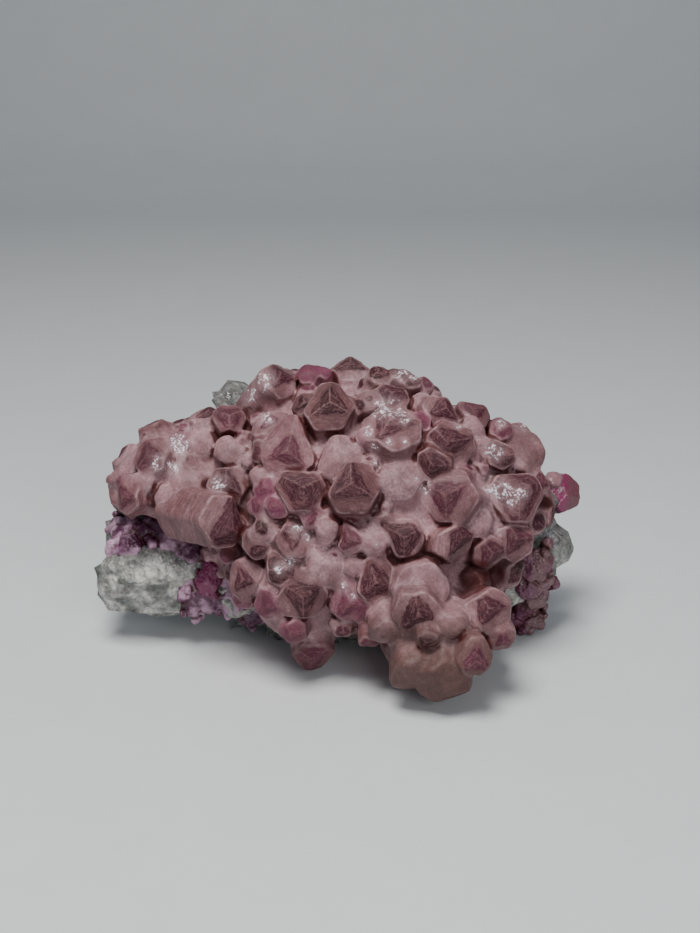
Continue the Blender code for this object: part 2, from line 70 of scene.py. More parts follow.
# Smooth lobes: centre and radii. The crystals' tips reach the first form.
TIP_LOBES = (
    ((5.0, 3.0, 24.5), (35.0, 23.5, 26.5)),  # the main dome
    ((-8.0, 9.0, 30.5), (17.0, 15.0, 21.5)),  # the top, left
    ((8.0, 9.0, 31.0), (16.0, 15.0, 21.5)),  # the top, right
    ((26.0, 6.0, 26.0), (14.0, 13.0, 16.0)),  # the right shoulder
    ((-29.0, 6.0, 31.0), (16.0, 14.0, 11.5)),  # the left shoulder
    ((-6.0, -9.0, 14.0), (13.0, 13.5, 11.5)),  # the front edge
    ((17.5, -17.0, 10.5), (14.0, 14.5, 12.5)),  # the foot at the front
)
ROCK_LOBES = (
    ((-36.0, 4.0, 12.0), (10.5, 10.0, 9.0)),  # the bare left end
    ((-22.0, 6.0, 11.0), (14.0, 10.0, 10.0)),  # the left end's root
    ((-33.0, 12.0, 18.0), (12.0, 9.0, 10.0)),  # what carries the left shoulder
    ((6.0, 9.0, 10.0), (30.0, 17.0, 14.0)),  # what it stands on
    ((-4.0, 15.0, 24.0), (26.0, 12.5, 17.0)),  # the back
    ((-20.0, 18.0, 37.0), (6.0, 6.0, 8.0)),  # the bare corner at the top
    ((31.8, 7.0, 17.5), (12.0, 11.0, 13.0)),  # the right edge
)
LOBE_BLEND = 4.0
COAT_DEPTH = 3.4  # how far the crystals stand out of the crust that joins them
COAT_CENTRE = np.array((2.0, 4.0, 21.0))
ROCK_CENTRE = np.array((-2.0, 9.0, 17.0))
RAY_REACH = 90.0
HALVINGS = 30  # how often a ray's span is halved to find the form
FEELER = 0.2  # how far either side of a point the form's slope is felt
ROCK_BITE = 1.2  # how deep the crust runs into the rock, so that no gap shows
ROCK_BREAK = 3.0  # depth of the rock's broken faces
ROCK_BREAK_SIZE = 7.0
ROCK_RIPPLE = 0.6  # share of the break that is rounded
ROCK_FACETS = ((2.4, 0.7), (1.1, 0.55))  # the size of broken facets, and how they tilt
FACET_SHUFFLE = 91.7  # sends neighbouring facets' draws far apart

CAP_SLOPE = math.radians(26.0)
CAP_RISE, CAP_RUN = math.cos(CAP_SLOPE), math.sin(CAP_SLOPE)
ATTRIBUTE_BLEND = 0.25  # how softly finishes pass from one crystal to the next
CAP_BEARINGS = tuple(math.radians(angle) for angle in (30, 150, 270))
SIDE_BEARINGS = tuple(math.radians(angle) for angle in (30, 90, 150))
RIPPLE = 0.06  # how wavy the crystals' faces are, in millimetres
SLENDERNESS = 3.0  # a small crystal's length, in its radii
PANE_MARGIN = 0.35  # how far inside the rim a pane stays
FLARE = 0.10  # how much wider a crystal's foot is than its rim
CAP_SKEW, SIDE_SKEW = 0.07, 0.13  # how uneven a crystal's faces are, of its radius
SIDE_ROUND = 0.14  # rounding between a bare crystal's sides, of its radius; a coat doubles it
RIDGE_ROUND, RIDGE_COAT = 0.12, 0.7  # rounding of bare ridges, and what a full coat adds
RIM_ROUND = 0.35  # rounding between cap and sides; a full coat adds a millimetre
FOOT_ROUND = 1.0
CLUSTER_MERGE, CLUSTER_ROOT = 0.6, 1.6  # how widely crystals run into each other and the crust
DRUSE_MERGE, DRUSE_ROOT = 0.12, 0.5
VIVID_MERGE = 0.15
FAR_AWAY = 50.0  # beyond every crystal's reach
OPEN_REACHES = ((0.8, 0.3), (1.8, 0.4), (3.4, 0.3))  # how far out is looked, and its weight


class Crystal(NamedTuple):
    """One crystal, in millimetres: where its tip shows, its size, its lean and its finish."""

    across: float
    up: float
    radius: float
    length: float
    lean_right: float = 0.0
    lean_up: float = 0.0
    turn: float = 0.0  # of its three ridges; one points up at 0
    rise: float = 0.0  # how far the tip stands above the lobes
    cover: float = 0.0  # 0 bare, 1 wholly coated
    tint: float = 0.2  # 0 brown mauve, 0.5 rose, 1 magenta
    pane: float = 0.6  # how much of the cap is clear and dark


def crystals_of(*rows):
    """A table of crystals from rows in the order of Crystal's values."""
    return tuple(Crystal(*row) for row in rows)


PINK_CRYSTALS = crystals_of(
    # left shoulder
    (-38.2, 2.6, 4.0, 9, -0.45, 0.45, 20, 0.8, 0.0, 0.3, 0.56),
    (-32.5, 5.0, 2.6, 7, -0.1, 0.5, 0, 0.3, 0.0, 0.7, 0.54),
    (-31.2, 7.8, 1.3, 5, 0.0, 0.8, 30, 0.2, 0.0, 0.8, 0.54),
    (-26.8, 10.6, 3.8, 14, -0.1, 1.6, 10, 2.2, 0.6, 0.1, 0.45),
    (-22.4, 9.6, 3.1, 10, 0.1, 0.6, 60, 1.4, 0.0, 0.35, 0.56),
    (-43.4, -2.4, 1.5, 6, -0.9, 0.3, 0, 0.2, 0.1, 0.6, 0.54),
    (-43.0, -5.6, 3.5, 12, -0.8, 0.0, 30, 1.2, 0.1, 0.35, 0.54),
    (-23.4, -3.6, 3.9, 9, -0.15, 0.1, 0, 0.8, 0.05, 0.1, 0.50),
    (-22.4, -11.2, 4.8, 17, 0.85, -0.15, 0, 2.0, 0.25, 0.25, 0.59),
    (-31.4, -2.4, 4.0, 7, -0.2, 0.3, 30, 0.0, 1.0, 0.1, 0.0),
    (-35.0, -5.2, 2.8, 7, -0.2, 0.1, 0, -0.4, 0.8, 0.3, 0.18),
    (-18.9, 1.4, 1.7, 5, 0.0, 0.2, 0, 0.2, 1.0, 0.0, 0.0),
    (-16.9, -1.6, 2.0, 5, 0.0, 0.3, 45, 0.2, 1.0, 0.0, 0.0),
    (-28.2, 5.4, 3.6, 8, -0.1, 0.4, 0, 0.4, 1.0, 0.1, 0.0),
    (-22.4, 3.4, 3.2, 7, 0.0, 0.3, 20, 0.0, 0.6, 0.2, 0.0),
    (-39.6, -2.4, 2.6, 7, -0.3, 0.2, 10, 0.0, 0.7, 0.4, 0.27),
    (-23.0, -16.6, 2.3, 8, -0.3, -0.2, 0, -1.2, 0.0, 0.9, 0.72),
    # top
    (-12.8, 17.4, 4.3, 13, 0.7, 0.85, 20, 1.5, 0.15, 0.15, 0.54),
    (-7.9, 18.0, 2.5, 8, 0.0, 0.7, 0, 0.4, 0.0, 1.0, 0.63),
    (-5.0, 18.2, 1.8, 7, 0.1, 0.8, 40, 0.4, 0.0, 1.0, 0.63),
    (0.3, 20.0, 4.6, 12, 0.0, 1.7, 0, 1.0, 0.2, 0.0, 0.54),
    (-4.2, 12.0, 4.9, 13, 0.0, 0.5, 3, 3.0, 0.0, 0.0, 0.45),
    (1.6, 12.0, 2.3, 7, 0.4, 0.6, 30, 0.2, 0.4, 0.0, 0.45),
    (-8.8, 12.2, 2.8, 8, -0.3, 0.5, 15, 1.2, 0.0, 0.0, 0.54),
    (-11.8, 3.9, 6.0, 10, -0.1, 0.2, -10, 1.2, 0.2, 0.35, 0.37),
    (-15.4, 8.6, 4.0, 9, -0.15, 0.6, 20, 0.9, 0.5, 0.3, 0.40),
    (-16.9, 2.4, 2.3, 6, -0.2, -0.2, 20, 0.6, 0.0, 0.2, 0.54),
    (-2.6, 1.4, 4.3, 8, -0.1, 0.2, 10, 0.3, 0.7, 0.0, 0.0),
    (5.6, 18.0, 2.8, 8, 0.0, 1.3, 20, 0.6, 0.35, 0.0, 0.54),
    (9.0, 18.2, 2.0, 8, 0.1, 1.4, 50, 0.8, 0.1, 0.0, 0.63),
    (11.4, 17.0, 2.6, 8, 0.2, 1.1, 10, 0.6, 0.1, 0.0, 0.63),
    (14.6, 15.9, 1.8, 6, 0.4, 0.8, 0, 0.3, 0.4, 0.6, 0.54),
    (7.9, 13.8, 3.5, 9, 0.1, 0.6, 45, 1.2, 0.15, 0.2, 0.54),
    (13.4, 12.6, 2.6, 7, 0.1, 0.5, 30, 0.5, 0.9, 0.0, 0.0),
    (18.1, 10.9, 4.0, 12, 0.55, 0.35, -10, 1.4, 0.1, 0.15, 0.54),
    (23.8, 10.8, 3.5, 10, 0.4, 0.7, 50, 1.0, 0.1, 0.3, 0.56),
    (23.3, 7.8, 3.1, 8, 0.2, 0.3, 0, 0.6, 0.8, 0.0, 0.18),
    (18.9, 4.8, 5.2, 10, 0.1, 0.1, 40, 1.2, 0.05, 0.15, 0.50),
    (8.0, 9.2, 5.8, 14, 0.0, 1.0, 30, 2.0, 0.2, 0.1, 0.50),
    (13.2, 8.6, 2.3, 7, 0.1, 0.3, 20, 0.6, 0.0, 0.75, 0.54),
    (2.6, 6.2, 2.1, 6, -0.2, 0.4, 0, 0.4, 0.5, 0.8, 0.37),
    (15.6, 0.2, 3.7, 8, -0.1, -0.2, 30, 0.5, 0.0, 0.1, 0.54),
    (9.2, -1.6, 4.6, 8, 0.0, 0.3, 0, 0.2, 0.75, 0.0, 0.0),
    (28.3, 7.8, 2.8, 8, 0.2, 0.7, 25, 0.5, 0.0, 0.5, 0.54),
    (32.3, 7.2, 2.2, 8, 0.3, 0.9, 0, 0.4, 0.0, 0.4, 0.54),
    (33.6, 3.2, 4.8, 10, 0.45, 0.25, 35, 0.8, 0.35, 0.1, 0.0),
    (28.6, 2.3, 2.9, 8, 0.05, 0.0, 35, 1.4, 0.0, 0.0, 0.82),
    (3.4, 12.8, 2.8, 8, -0.1, 0.5, 0, 0.5, 0.6, 0.1, 0.18),
    (24.6, 3.6, 2.8, 8, 0.1, 0.1, 20, -0.2, 0.8, 0.2, 0.18),
    (36.0, -2.6, 3.0, 9, 0.6, 0.2, 10, 0.0, 0.5, 0.3, 0.37),
    # middle
    (0.5, -3.4, 5.1, 11, 0.05, 0.3, 0, 2.2, 0.0, 0.1, 0.44),
    (-9.0, -4.0, 4.5, 10, 0.0, 0.2, 60, 1.2, 0.0, 0.15, 0.64),
    (-15.7, -3.8, 2.9, 7, -0.2, 0.2, 10, 0.4, 0.0, 0.8, 0.54),
    (-17.8, -7.2, 2.5, 6, -0.3, 0.0, 40, 0.2, 0.4, 0.7, 0.45),
    (-13.5, -7.2, 2.6, 6, 0.0, 0.1, 0, 0.2, 0.2, 0.8, 0.54),
    (-4.2, -10.4, 2.4, 8, 0.1, 0.5, 20, 0.6, 1.0, 0.0, 0.0),
    (-16.6, -11.2, 3.3, 8, -0.2, 0.2, 0, 0.6, 0.6, 0.0, 0.40),
    (-17.1, -15.2, 3.0, 8, 0.0, -0.25, 15, 0.6, 0.2, 0.1, 0.45),
    (-19.2, -13.4, 1.5, 5, -0.3, 0.0, 0, 0.3, 0.1, 0.1, 0.54),
    (-10.6, -13.2, 3.8, 9, 0.1, 0.3, 60, 0.8, 0.25, 0.1, 0.50),
    (-11.6, -19.2, 4.2, 9, 0.05, 0.0, -30, 0.9, 0.05, 0.0, 0.72),
    (-20.2, -21.6, 4.1, 10, -0.3, -0.1, 20, 0.9, 0.25, 0.2, 0.40),
    (-5.2, -17.9, 4.6, 8, 0.0, 0.2, 30, 0.5, 1.0, 0.0, 0.0),
    (-3.8, -21.6, 2.0, 6, 0.0, -0.2, 0, 0.3, 0.1, 0.1, 0.54),
    (-0.3, -13.6, 3.1, 8, -0.2, 0.0, 20, 0.5, 0.4, 0.4, 0.50),
    (18.4, -5.6, 5.2, 11, -0.25, 0.05, 60, 1.2, 0.1, 0.3, 0.45),
    (10.1, -13.6, 4.0, 9, 0.0, 0.0, 60, 0.6, 0.6, 0.1, 0.54),
    (21.0, -14.0, 4.4, 15, 0.75, -0.05, 30, 1.5, 0.2, 0.2, 0.50),
    (4.4, -13.2, 3.2, 7, 0.0, 0.2, 10, 0.2, 1.0, 0.0, 0.0),
    (5.3, -21.4, 4.6, 10, 0.1, 0.0, 15, 1.2, 0.05, 0.1, 0.46),
    (13.9, -20.4, 3.4, 8, 0.0, 0.1, 40, 0.6, 0.95, 0.0, 0.18),
    (31.0, -4.8, 6.0, 12, 0.15, 0.2, 60, 0.8, 0.05, 0.15, 0.54),
    (31.4, -14.2, 4.0, 10, 0.2, 0.0, 30, 0.8, 0.1, 0.3, 0.50),
    (26.8, -16.6, 3.5, 12, 0.45, -0.3, 40, 0.6, 0.2, 0.3, 0.54),
    (24.0, -10.8, 3.0, 8, 0.1, 0.0, 0, 0.0, 1.0, 0.1, 0.0),
    (35.4, -10.2, 3.0, 9, 0.5, 0.0, 0, 0.2, 0.6, 0.2, 0.37),
    (-7.0, -9.6, 2.4, 7, 0.0, 0.0, 0, 0.0, 0.3, 0.6, 0.45),
    (-14.6, -22.6, 2.8, 8, -0.1, -0.1, 0, 0.2, 0.7, 0.2, 0.27),
    (1.0, -18.4, 2.6, 7, 0.0, 0.1, 30, 0.0, 0.9, 0.2, 0.18),
    # bottom
    (-9.0, -24.6, 4.7, 10, 0.0, -0.2, 60, 1.0, 0.15, 0.1, 0.45),
    (-15.4, -26.6, 3.5, 9, -0.3, -0.4, 10, 0.4, 0.1, 0.8, 0.45),
    (-11.0, -31.6, 2.8, 9, -0.25, -0.5, 30, 0.4, 0.1, 0.8, 0.54),
    (-7.2, -36.4, 4.5, 13, 0.1, -0.8, 60, 0.4, 0.1, 0.5, 0.54),
    (-0.5, -25.2, 4.3, 10, -0.1, -0.1, 20, 0.9, 0.25, 0.6, 0.45),
    (-1.4, -30.8, 2.4, 8, 0.0, -0.5, 0, 0.3, 0.4, 0.3, 0.45),
    (11.8, -24.2, 2.1, 8, -0.1, 0.0, 30, 1.2, 0.5, 0.0, 0.63),
    (14.2, -24.4, 4.9, 10, 0.1, -0.1, 10, 1.0, 1.0, 0.0, 0.0),
    (13.0, -28.8, 4.6, 12, 0.0, -0.35, 10, 1.2, 0.4, 0.1, 0.46),
    (14.5, -33.4, 2.4, 9, 0.0, -0.9, 30, 0.0, 0.4, 0.0, 0.45),
    (4.2, -27.8, 3.9, 9, 0.0, -0.25, 0, 0.4, 0.05, 0.6, 0.50),
    (7.0, -32.0, 3.4, 9, 0.0, -0.7, 40, 0.2, 0.9, 0.1, 0.18),
    (3.6, -33.4, 2.3, 8, 0.0, -0.9, 0, 0.2, 0.2, 0.5, 0.45),
    (11.4, -40.6, 5.2, 16, -0.1, -0.9, 10, 0.6, 0.5, 0.0, 0.0),
    (18.2, -42.8, 5.2, 17, 0.1, -1.0, 30, 0.8, 0.35, 0.0, 0.0),
    (24.2, -36.6, 3.6, 12, 0.35, -0.2, 0, 1.5, 0.45, 0.4, 0.45),
    (26.6, -26.8, 4.7, 12, 0.2, 0.1, 30, 1.6, 0.3, 0.2, 0.50),
    (28.6, -33.0, 2.9, 10, 0.2, -0.5, 10, 0.4, 0.4, 0.5, 0.40),
    (31.8, -25.2, 2.4, 9, 0.5, -0.1, 0, 0.2, 0.9, 0.0, 0.18),
    (30.6, -20.4, 2.8, 9, 0.4, 0.0, 20, 0.0, 0.5, 0.3, 0.37),
    (19.4, -30.4, 3.0, 9, 0.1, -0.3, 0, 0.2, 1.0, 0.1, 0.0),
    (-20.4, -25.4, 2.4, 8, -0.3, -0.4, 0, 0.2, 0.2, 0.8, 0.45),
)
LEFT_DRUSE = crystals_of(
    (-44.6, -10.8, 1.9, 7, -0.6, 0.3),
    (-43.2, -13.0, 2.8, 7, -0.4, 0.3),
    (-45.2, -15.2, 2.3, 7, -0.5, 0.1, 20),
    (-41.2, -11.2, 3.0, 7, -0.2, 0.6, 30),
    (-41.8, -15.2, 2.4, 6, -0.1, 0.2, 10),
    (-38.4, -11.6, 3.2, 7, 0.0, 0.6, 15),
    (-35.4, -11.4, 3.0, 7, 0.1, 0.5, 45),
    (-34.0, -13.9, 2.3, 6, 0.0, 0.3, 0),
    (-31.2, -14.8, 2.6, 7, 0.0, 0.3, 25),
    (-28.6, -16.4, 2.8, 7, 0.1, 0.1, 5),
    (-25.8, -18.7, 2.8, 8, 0.0, 0.2, 30, 1.2, 0, 1.0),
    (-27.0, -21.8, 2.7, 8, -0.1, -0.1, 0, 1.0, 0, 1.0),
    (-29.3, -24.4, 2.6, 7, -0.2, -0.2, 40),
    (-26.3, -25.8, 2.8, 7, 0.0, -0.3, 20),
    (-23.2, -24.6, 3.0, 7, 0.0, -0.2, 0),
    (-20.6, -26.8, 2.7, 7, 0.1, -0.4, 30),
    (-17.6, -28.4, 2.6, 7, 0.1, -0.5, 10),
    (-23.6, -21.4, 2.7, 7, 0.0, 0.0, 15),
    (-30.2, -27.2, 2.0, 6, -0.2, -0.5, 0),
)
RIGHT_DRUSE = crystals_of(
    (36.8, -17.4, 2.7, 8, 0.5, 0.2, 0),
    (34.6, -19.0, 2.9, 8, 0.2, 0.0, 25),
    (36.8, -21.0, 2.7, 8, 0.5, 0.0, 40),
    (34.0, -22.6, 2.9, 8, 0.2, -0.1, 10),
    (35.6, -24.8, 2.7, 8, 0.4, -0.2, 0),
    (33.4, -27.2, 3.0, 8, 0.2, -0.4, 30),
    (34.9, -27.8, 2.3, 8, 0.4, -0.4, 15),
    (31.6, -29.8, 2.6, 8, 0.1, -0.6, 0),
    (33.2, -30.2, 2.2, 8, 0.3, -0.7, 20),
)
MAGENTA_CRYSTAL = crystals_of(
    (40.9, -4.9, 3.9, 9, 0.4, 0.1, 20, 0, 0, 1.0),
    (38.6, -1.7, 1.8, 7, 0.3, 0.8, 0, 0, 0, 0.4),
)
DRUSES = (  # piece, the node it stands for, table, seed
    ("druse_left", "magenta_druse_left", LEFT_DRUSE, 3),
    ("druse_right", "magenta_druse_right", RIGHT_DRUSE, 4),
)
DRUSE_RISE = 1.6  # how far its crystals' tips stand out of the rock
DRUSE_BITE = 3.0  # how deep it may run into the rock
CRUMBS_EACH = 4  # tiny crystals sprinkled round each one of a druse
CRUMB_RADII = (0.7, 1.4)
CRUMB_LEAN = 0.5
NO_CRUST = 30.0  # a depth at which no crust shows

# Patches of painted glints, laid as tiny bright crystals: across, up, radius.
GLITTER = (
    (-32.0, 4.2, 2.8), (-36.0, 0.2, 2.0), (-33.5, -0.3, 2.0), (-24.8, -3.2, 2.0),
    (-15.6, 9.0, 1.6), (-16.5, 15.8, 2.6), (-18.3, 13.4, 2.0), (5.4, 10.6, 2.4), (8.4, 10.9, 2.2),
    (10.2, 9.2, 1.7), (3.2, 6.6, 1.5), (4.4, 3.4, 1.3), (5.2, 0.8, 1.1), (7.4, 4.6, 1.0),
    (10.4, 4.4, 1.0), (20.4, 7.6, 0.8), (26.9, 2.6, 2.4), (26.0, -3.4, 2.6), (28.6, -4.6, 2.8),
    (30.4, -6.2, 2.4), (32.4, -5.0, 1.6), (32.3, 7.8, 1.4), (-9.6, -12.0, 1.8), (-8.2, -13.2, 1.4),
    (-10.6, -17.2, 1.2), (-11.8, -18.1, 1.5), (-13.2, -19.2, 1.5), (-1.0, -22.8, 1.5),
    (0.4, -24.4, 0.9), (-30.8, -18.2, 1.5), (-33.4, -17.6, 0.9), (38.2, -13.2, 1.6),
    (39.2, -12.0, 1.1), (9.6, 17.2, 1.8), (12.0, 16.8, 1.2), (3.2, -16.0, 0.8), (4.8, -14.6, 0.6),
    (14.0, -4.2, 1.6), (12.4, -2.6, 1.0), (28.4, 8.0, 1.2), (-14.6, -1.6, 0.6),
)
GLITTER_REACH = 9.0  # how near a patch's place a point must lie, so that none shows behind
GLITTER_MIDDLE, GLITTER_FADE, GLITTER_MOST = 1.5, 1.1, 0.95  # its thickness, fall and limit

# Hollows in the crust between the crystals: across, up, radius, depth.
HOLLOWS = (
    (23.6, -21.8, 3.8, 5.5), (26.8, -20.8, 2.6, 4.0), (4.0, -25.0, 2.2, 2.5),
    (-22.4, -15.8, 1.8, 3.0), (-5.6, -31.0, 2.2, 3.0), (-7.6, 6.2, 1.6, 2.0),
    (-19.4, -3.0, 1.4, 2.0), (-9.4, -1.0, 1.4, 1.5), (13.4, -22.6, 1.4, 1.5),
    (37.0, -7.0, 2.2, 2.5), (24.6, 4.4, 1.6, 2.0), (-26.4, -5.2, 1.3, 1.5),
)
HOLLOW_LEVEL = -1.5  # how far under the level of the tips they open

FRINGE_SEED = 7
SHOULDER_CENTRE = np.array((-29.0, 6.0, 31.0))
FOOT_CENTRE = np.array((17.5, -17.0, 10.5))
FRINGE_ROWS = (  # from which centre, how high round the form, between which bearings, how many
    (COAT_CENTRE, 58.0, 25.0, 165.0, 7),
    (COAT_CENTRE, 38.0, 5.0, 185.0, 11),
    (COAT_CENTRE, 14.0, -20.0, 22.0, 4),
    (COAT_CENTRE, 21.0, 20.0, 75.0, 4),
    (SHOULDER_CENTRE, 48.0, 55.0, 150.0, 3),
    (SHOULDER_CENTRE, 12.0, 90.0, 165.0, 4),
    (SHOULDER_CENTRE, -24.0, 150.0, 200.0, 2),
    (FOOT_CENTRE, 26.0, 12.0, 60.0, 2),
    (FOOT_CENTRE, -8.0, 5.0, 50.0, 2),
)
FRINGE_RADII = (2.5, 4.2)
FRINGE_LENGTH = 8.0
FRINGE_LEAN = 0.3
FRINGE_STRAY = 7.0  # how far above or below its row a crystal may stand, in degrees

BUD_SEED = 3
BUD_COUNT = 150
BUD_RADII = (1.0, 2.6)
BUD_LEVEL = -1.3  # how far under the level of the large crystals' tips the small ones end
BUD_LEAN = 0.45
BUD_OVERLAP = -0.3  # how deep in a larger crystal a small one's tip may lie
BUD_COVERS, BUD_TINTS, BUD_PANE = (0.0, 0.2, 0.5), (0.1, 0.3, 0.5), 0.42
BUD_UNEVENNESS = 1000  # first seed of the small crystals' unevenness
BARE_CRUST = ((10.0, -3.0, 4.5), (-2.5, 2.2, 3.0), (-31.0, -2.5, 2.5))  # across, up, radius

# What the finishes are told on the crust, away from every crystal.
CRUST_VALUES = {"rim": -3.0, "pane": -3.0, "ridge": 3.0, "cover": 1.0, "tint": 0.0}
VALUE_REACH = 3.0  # how far from its faces a crystal's values still change

# The stage, in metres but for the lens.
LENS, FILM = 54.0, 36.0  # millimetres; the film's height
LAMP_TARGET = Vector((0.0, 0.0, 0.02))
LAMPS = (  # name, place, size, power, colour
    ("overhead", (-0.06, -0.13, 0.42), (0.18, 0.18), 2.4, (1.0, 0.98, 0.95)),
    ("front", (0.16, -0.40, 0.22), (0.20, 0.16), 0.6, (1.0, 1.0, 1.0)),
)
ROOM_COLOUR, ROOM_STRENGTH = (0.80, 0.87, 1.0, 1.0), 0.215
BOARD_REACH = 0.8  # to either side
BOARD_PROFILE = ((-0.6, 0.0), (0.45, 0.0), (0.52, 0.01), (0.57, 0.05), (0.59, 0.12), (0.6, 0.7))
BOARD_COLOURS = (0.58, 0.60, 0.61), (0.62, 0.64, 0.65)


# ---------------------------------------------------------------- distance fields


def smooth_min(first, second, blend):
    """Join two distances, run together over a blend."""
    share = np.maximum(blend - np.abs(first - second), 0.0) / blend
    return np.minimum(first, second) - share * share * blend / 4.0


def smooth_max(first, second, blend):
    """Keep what is inside both, its edge rounded over a blend."""
    return -smooth_min(-first, -second, blend)


def lobe_distance(points, lobe):
    """Distance to an ellipsoid, negative inside."""
    centre, radii = (np.array(part, dtype=points.dtype) for part in lobe)
    offset = points - centre
    near = np.sqrt(np.sum((offset / radii) ** 2, axis=-1))
    slope = np.sqrt(np.sum((offset / radii**2) ** 2, axis=-1))
    return near * (near - 1.0) / np.maximum(slope, 1e-6)


def form_distance(points, lobes):
    """Distance to the lobes run together."""
    result = lobe_distance(points, lobes[0])
    for lobe in lobes[1:]:
        result = smooth_min(result, lobe_distance(points, lobe), LOBE_BLEND)
    return result


def unit(vector):
    """The same way, one long."""
    return vector / np.linalg.norm(vector, axis=-1, keepdims=True)


def form_normal(point, lobes):
    """Which way the run-together lobes face near a point."""
    steps = np.eye(3) * FEELER
    rise = [form_distance((point + s)[None], lobes)[0] - form_distance((point - s)[None], lobes)[0]
            for s in steps]
    return unit(np.array(rise))


def drop_on_form(across, up, lobes, level=0.0):
    """Follow a sight line to where it comes within a level of the lobes, or passes nearest."""
    reach = (SIGHT_DEPTHS / SIGHT_LENGTH)[:, None]
    points = EYE + AHEAD * SIGHT_DEPTHS[:, None] + reach * (RIGHT * across + UPWARD * up)
    gaps = form_distance(points, lobes)
    inside = np.flatnonzero(gaps <= level)
    return points[inside[0] if len(inside) else int(np.argmin(gaps))]


def ray_hit(centre, directions, lobes, level=0.0):
    """How far along rays from a centre the lobes' distance reaches a level."""
    low = np.zeros(len(directions))
    high = np.full(len(directions), RAY_REACH)
    for _ in range(HALVINGS):
        middle = (low + high) / 2
        inside = form_distance(centre + directions * middle[:, None], lobes) < level
        low = np.where(inside, middle, low)
        high = np.where(inside, high, middle)
    return low


# ---------------------------------------------------------------- crystals in place


class Grown(NamedTuple):
    """A crystal in place: its tip, the rows of its own frame, and its table row."""

    tip: np.ndarray
    frame: np.ndarray
    row: Crystal
    uneven: np.ndarray  # how far each cap and each pair of sides is off its regular place


def unevenness(seed):
    """Six small draws between -1 and 1."""
    draw = random.Random(seed)
    return np.array([draw.uniform(-1.0, 1.0) for _ in range(6)])


def own_frame(axis, turn):
    """Right, up and outward for a crystal that points along an axis."""
    level = UPWARD - axis * UPWARD.dot(axis)
    if np.linalg.norm(level) < 0.1:
        level = -AHEAD
    level = unit(level)
    angle = math.radians(turn)
    level = level * math.cos(angle) + np.cross(axis, level) * math.sin(angle)
    return np.array((np.cross(level, axis), level, axis))


def grow_table(table, lobes, rise=0.0):
    """Every crystal of a table, in place."""
    result = []
    for number, row in enumerate(table):
        axis = unit(-AHEAD + RIGHT * row.lean_right + UPWARD * row.lean_up)
        tip = drop_on_form(row.across, row.up, lobes, rise + row.rise)
        result.append(Grown(tip, own_frame(axis, row.turn), row, unevenness(number)))
    return result


def grow_fringe():
    """The crystals round the back and the sides, in place."""
    draw = random.Random(FRINGE_SEED)
    result = []
    for centre, height, first, last, count in FRINGE_ROWS:
        for number in range(count):
            bearing = first + (last - first) * (number + draw.uniform(0.25, 0.75)) / count
            around = math.radians(bearing)
            above = math.radians(height + draw.uniform(-FRINGE_STRAY, FRINGE_STRAY))
            direction = np.array((math.cos(around) * math.cos(above),
                                  math.sin(around) * math.cos(above), math.sin(above)))
            tip = centre + direction * ray_hit(centre, direction[None], TIP_LOBES)[0]
            lean = np.array((draw.uniform(-1, 1), draw.uniform(-1, 1), draw.uniform(-0.4, 1)))
            axis = unit(form_normal(tip, TIP_LOBES) + lean * FRINGE_LEAN)
            radius = draw.uniform(*FRINGE_RADII)
            turn = draw.uniform(0, 120)
            row = Crystal(0, 0, radius, FRINGE_LENGTH, turn=turn, cover=0.4 * (number % 3 == 0),
                          tint=0.15 * (number % 4), pane=0.55)
            result.append(Grown(tip, own_frame(axis, turn), row, unevenness(bearing)))
    return result


def clear_of(tip, crystals, bare):
    """Whether a small crystal can stand at a tip."""
    if any(np.linalg.norm(tip - place) < radius for place, radius in bare):
        return False
    return all(crystal_distance(tip[None], grown)[0] > BUD_OVERLAP for grown in crystals)


def grow_buds(crystals):
    """Small crystals in the crust between the larger ones, in place."""
    draw = random.Random(BUD_SEED)
    bare = [(drop_on_form(across, up, TIP_LOBES), radius) for across, up, radius in BARE_CRUST]
    result = []
    for number in range(BUD_COUNT):
        around = draw.uniform(0.0, 2 * math.pi)
        height = draw.uniform(-0.3, 1.0)
        flat = math.sqrt(1.0 - height * height)
        direction = np.array((math.cos(around) * flat, math.sin(around) * flat, height))
        reach = ray_hit(COAT_CENTRE, direction[None], TIP_LOBES, BUD_LEVEL)[0]
        tip = COAT_CENTRE + direction * reach
        lean = np.array([draw.uniform(-1, 1) for _ in range(3)])
        axis = unit(form_normal(tip, TIP_LOBES) + lean * BUD_LEAN)
        radius = draw.uniform(*BUD_RADII)
        row = Crystal(0, 0, radius, radius * SLENDERNESS, turn=draw.uniform(0, 120),
                      cover=draw.choice(BUD_COVERS), tint=draw.choice(BUD_TINTS), pane=BUD_PANE)
        if clear_of(tip, crystals, bare):
            skew = unevenness(BUD_UNEVENNESS + number)
            result.append(Grown(tip, own_frame(axis, row.turn), row, skew))
    return result


def crystal_parts(points, grown):
    """Distances to a crystal's caps and to its sides, and the points in its own frame."""
    row = grown.row
    local = ((points - grown.tip) @ grown.frame.T.astype(points.dtype))
    x, y, z = local[..., 0], local[..., 1], local[..., 2]
    skew = grown.uneven * row.radius
    caps = [x * CAP_RUN * math.cos(b) + y * CAP_RUN * math.sin(b)
            + z * CAP_RISE + CAP_SKEW * off for b, off in zip(CAP_BEARINGS, skew)]
    flats = [np.abs(x * math.cos(b) + y * math.sin(b) + SIDE_SKEW * off) + SIDE_SKEW * off
             for b, off in zip(SIDE_BEARINGS, skew[3:])]
    round_off = row.radius * (SIDE_ROUND + SIDE_ROUND * row.cover)
    around = smooth_max(smooth_max(flats[0], flats[1], round_off), flats[2], round_off)
    reach = row.radius * math.cos(math.pi / 6) * (1.0 - FLARE * z / row.length)
    return caps, around - reach, local


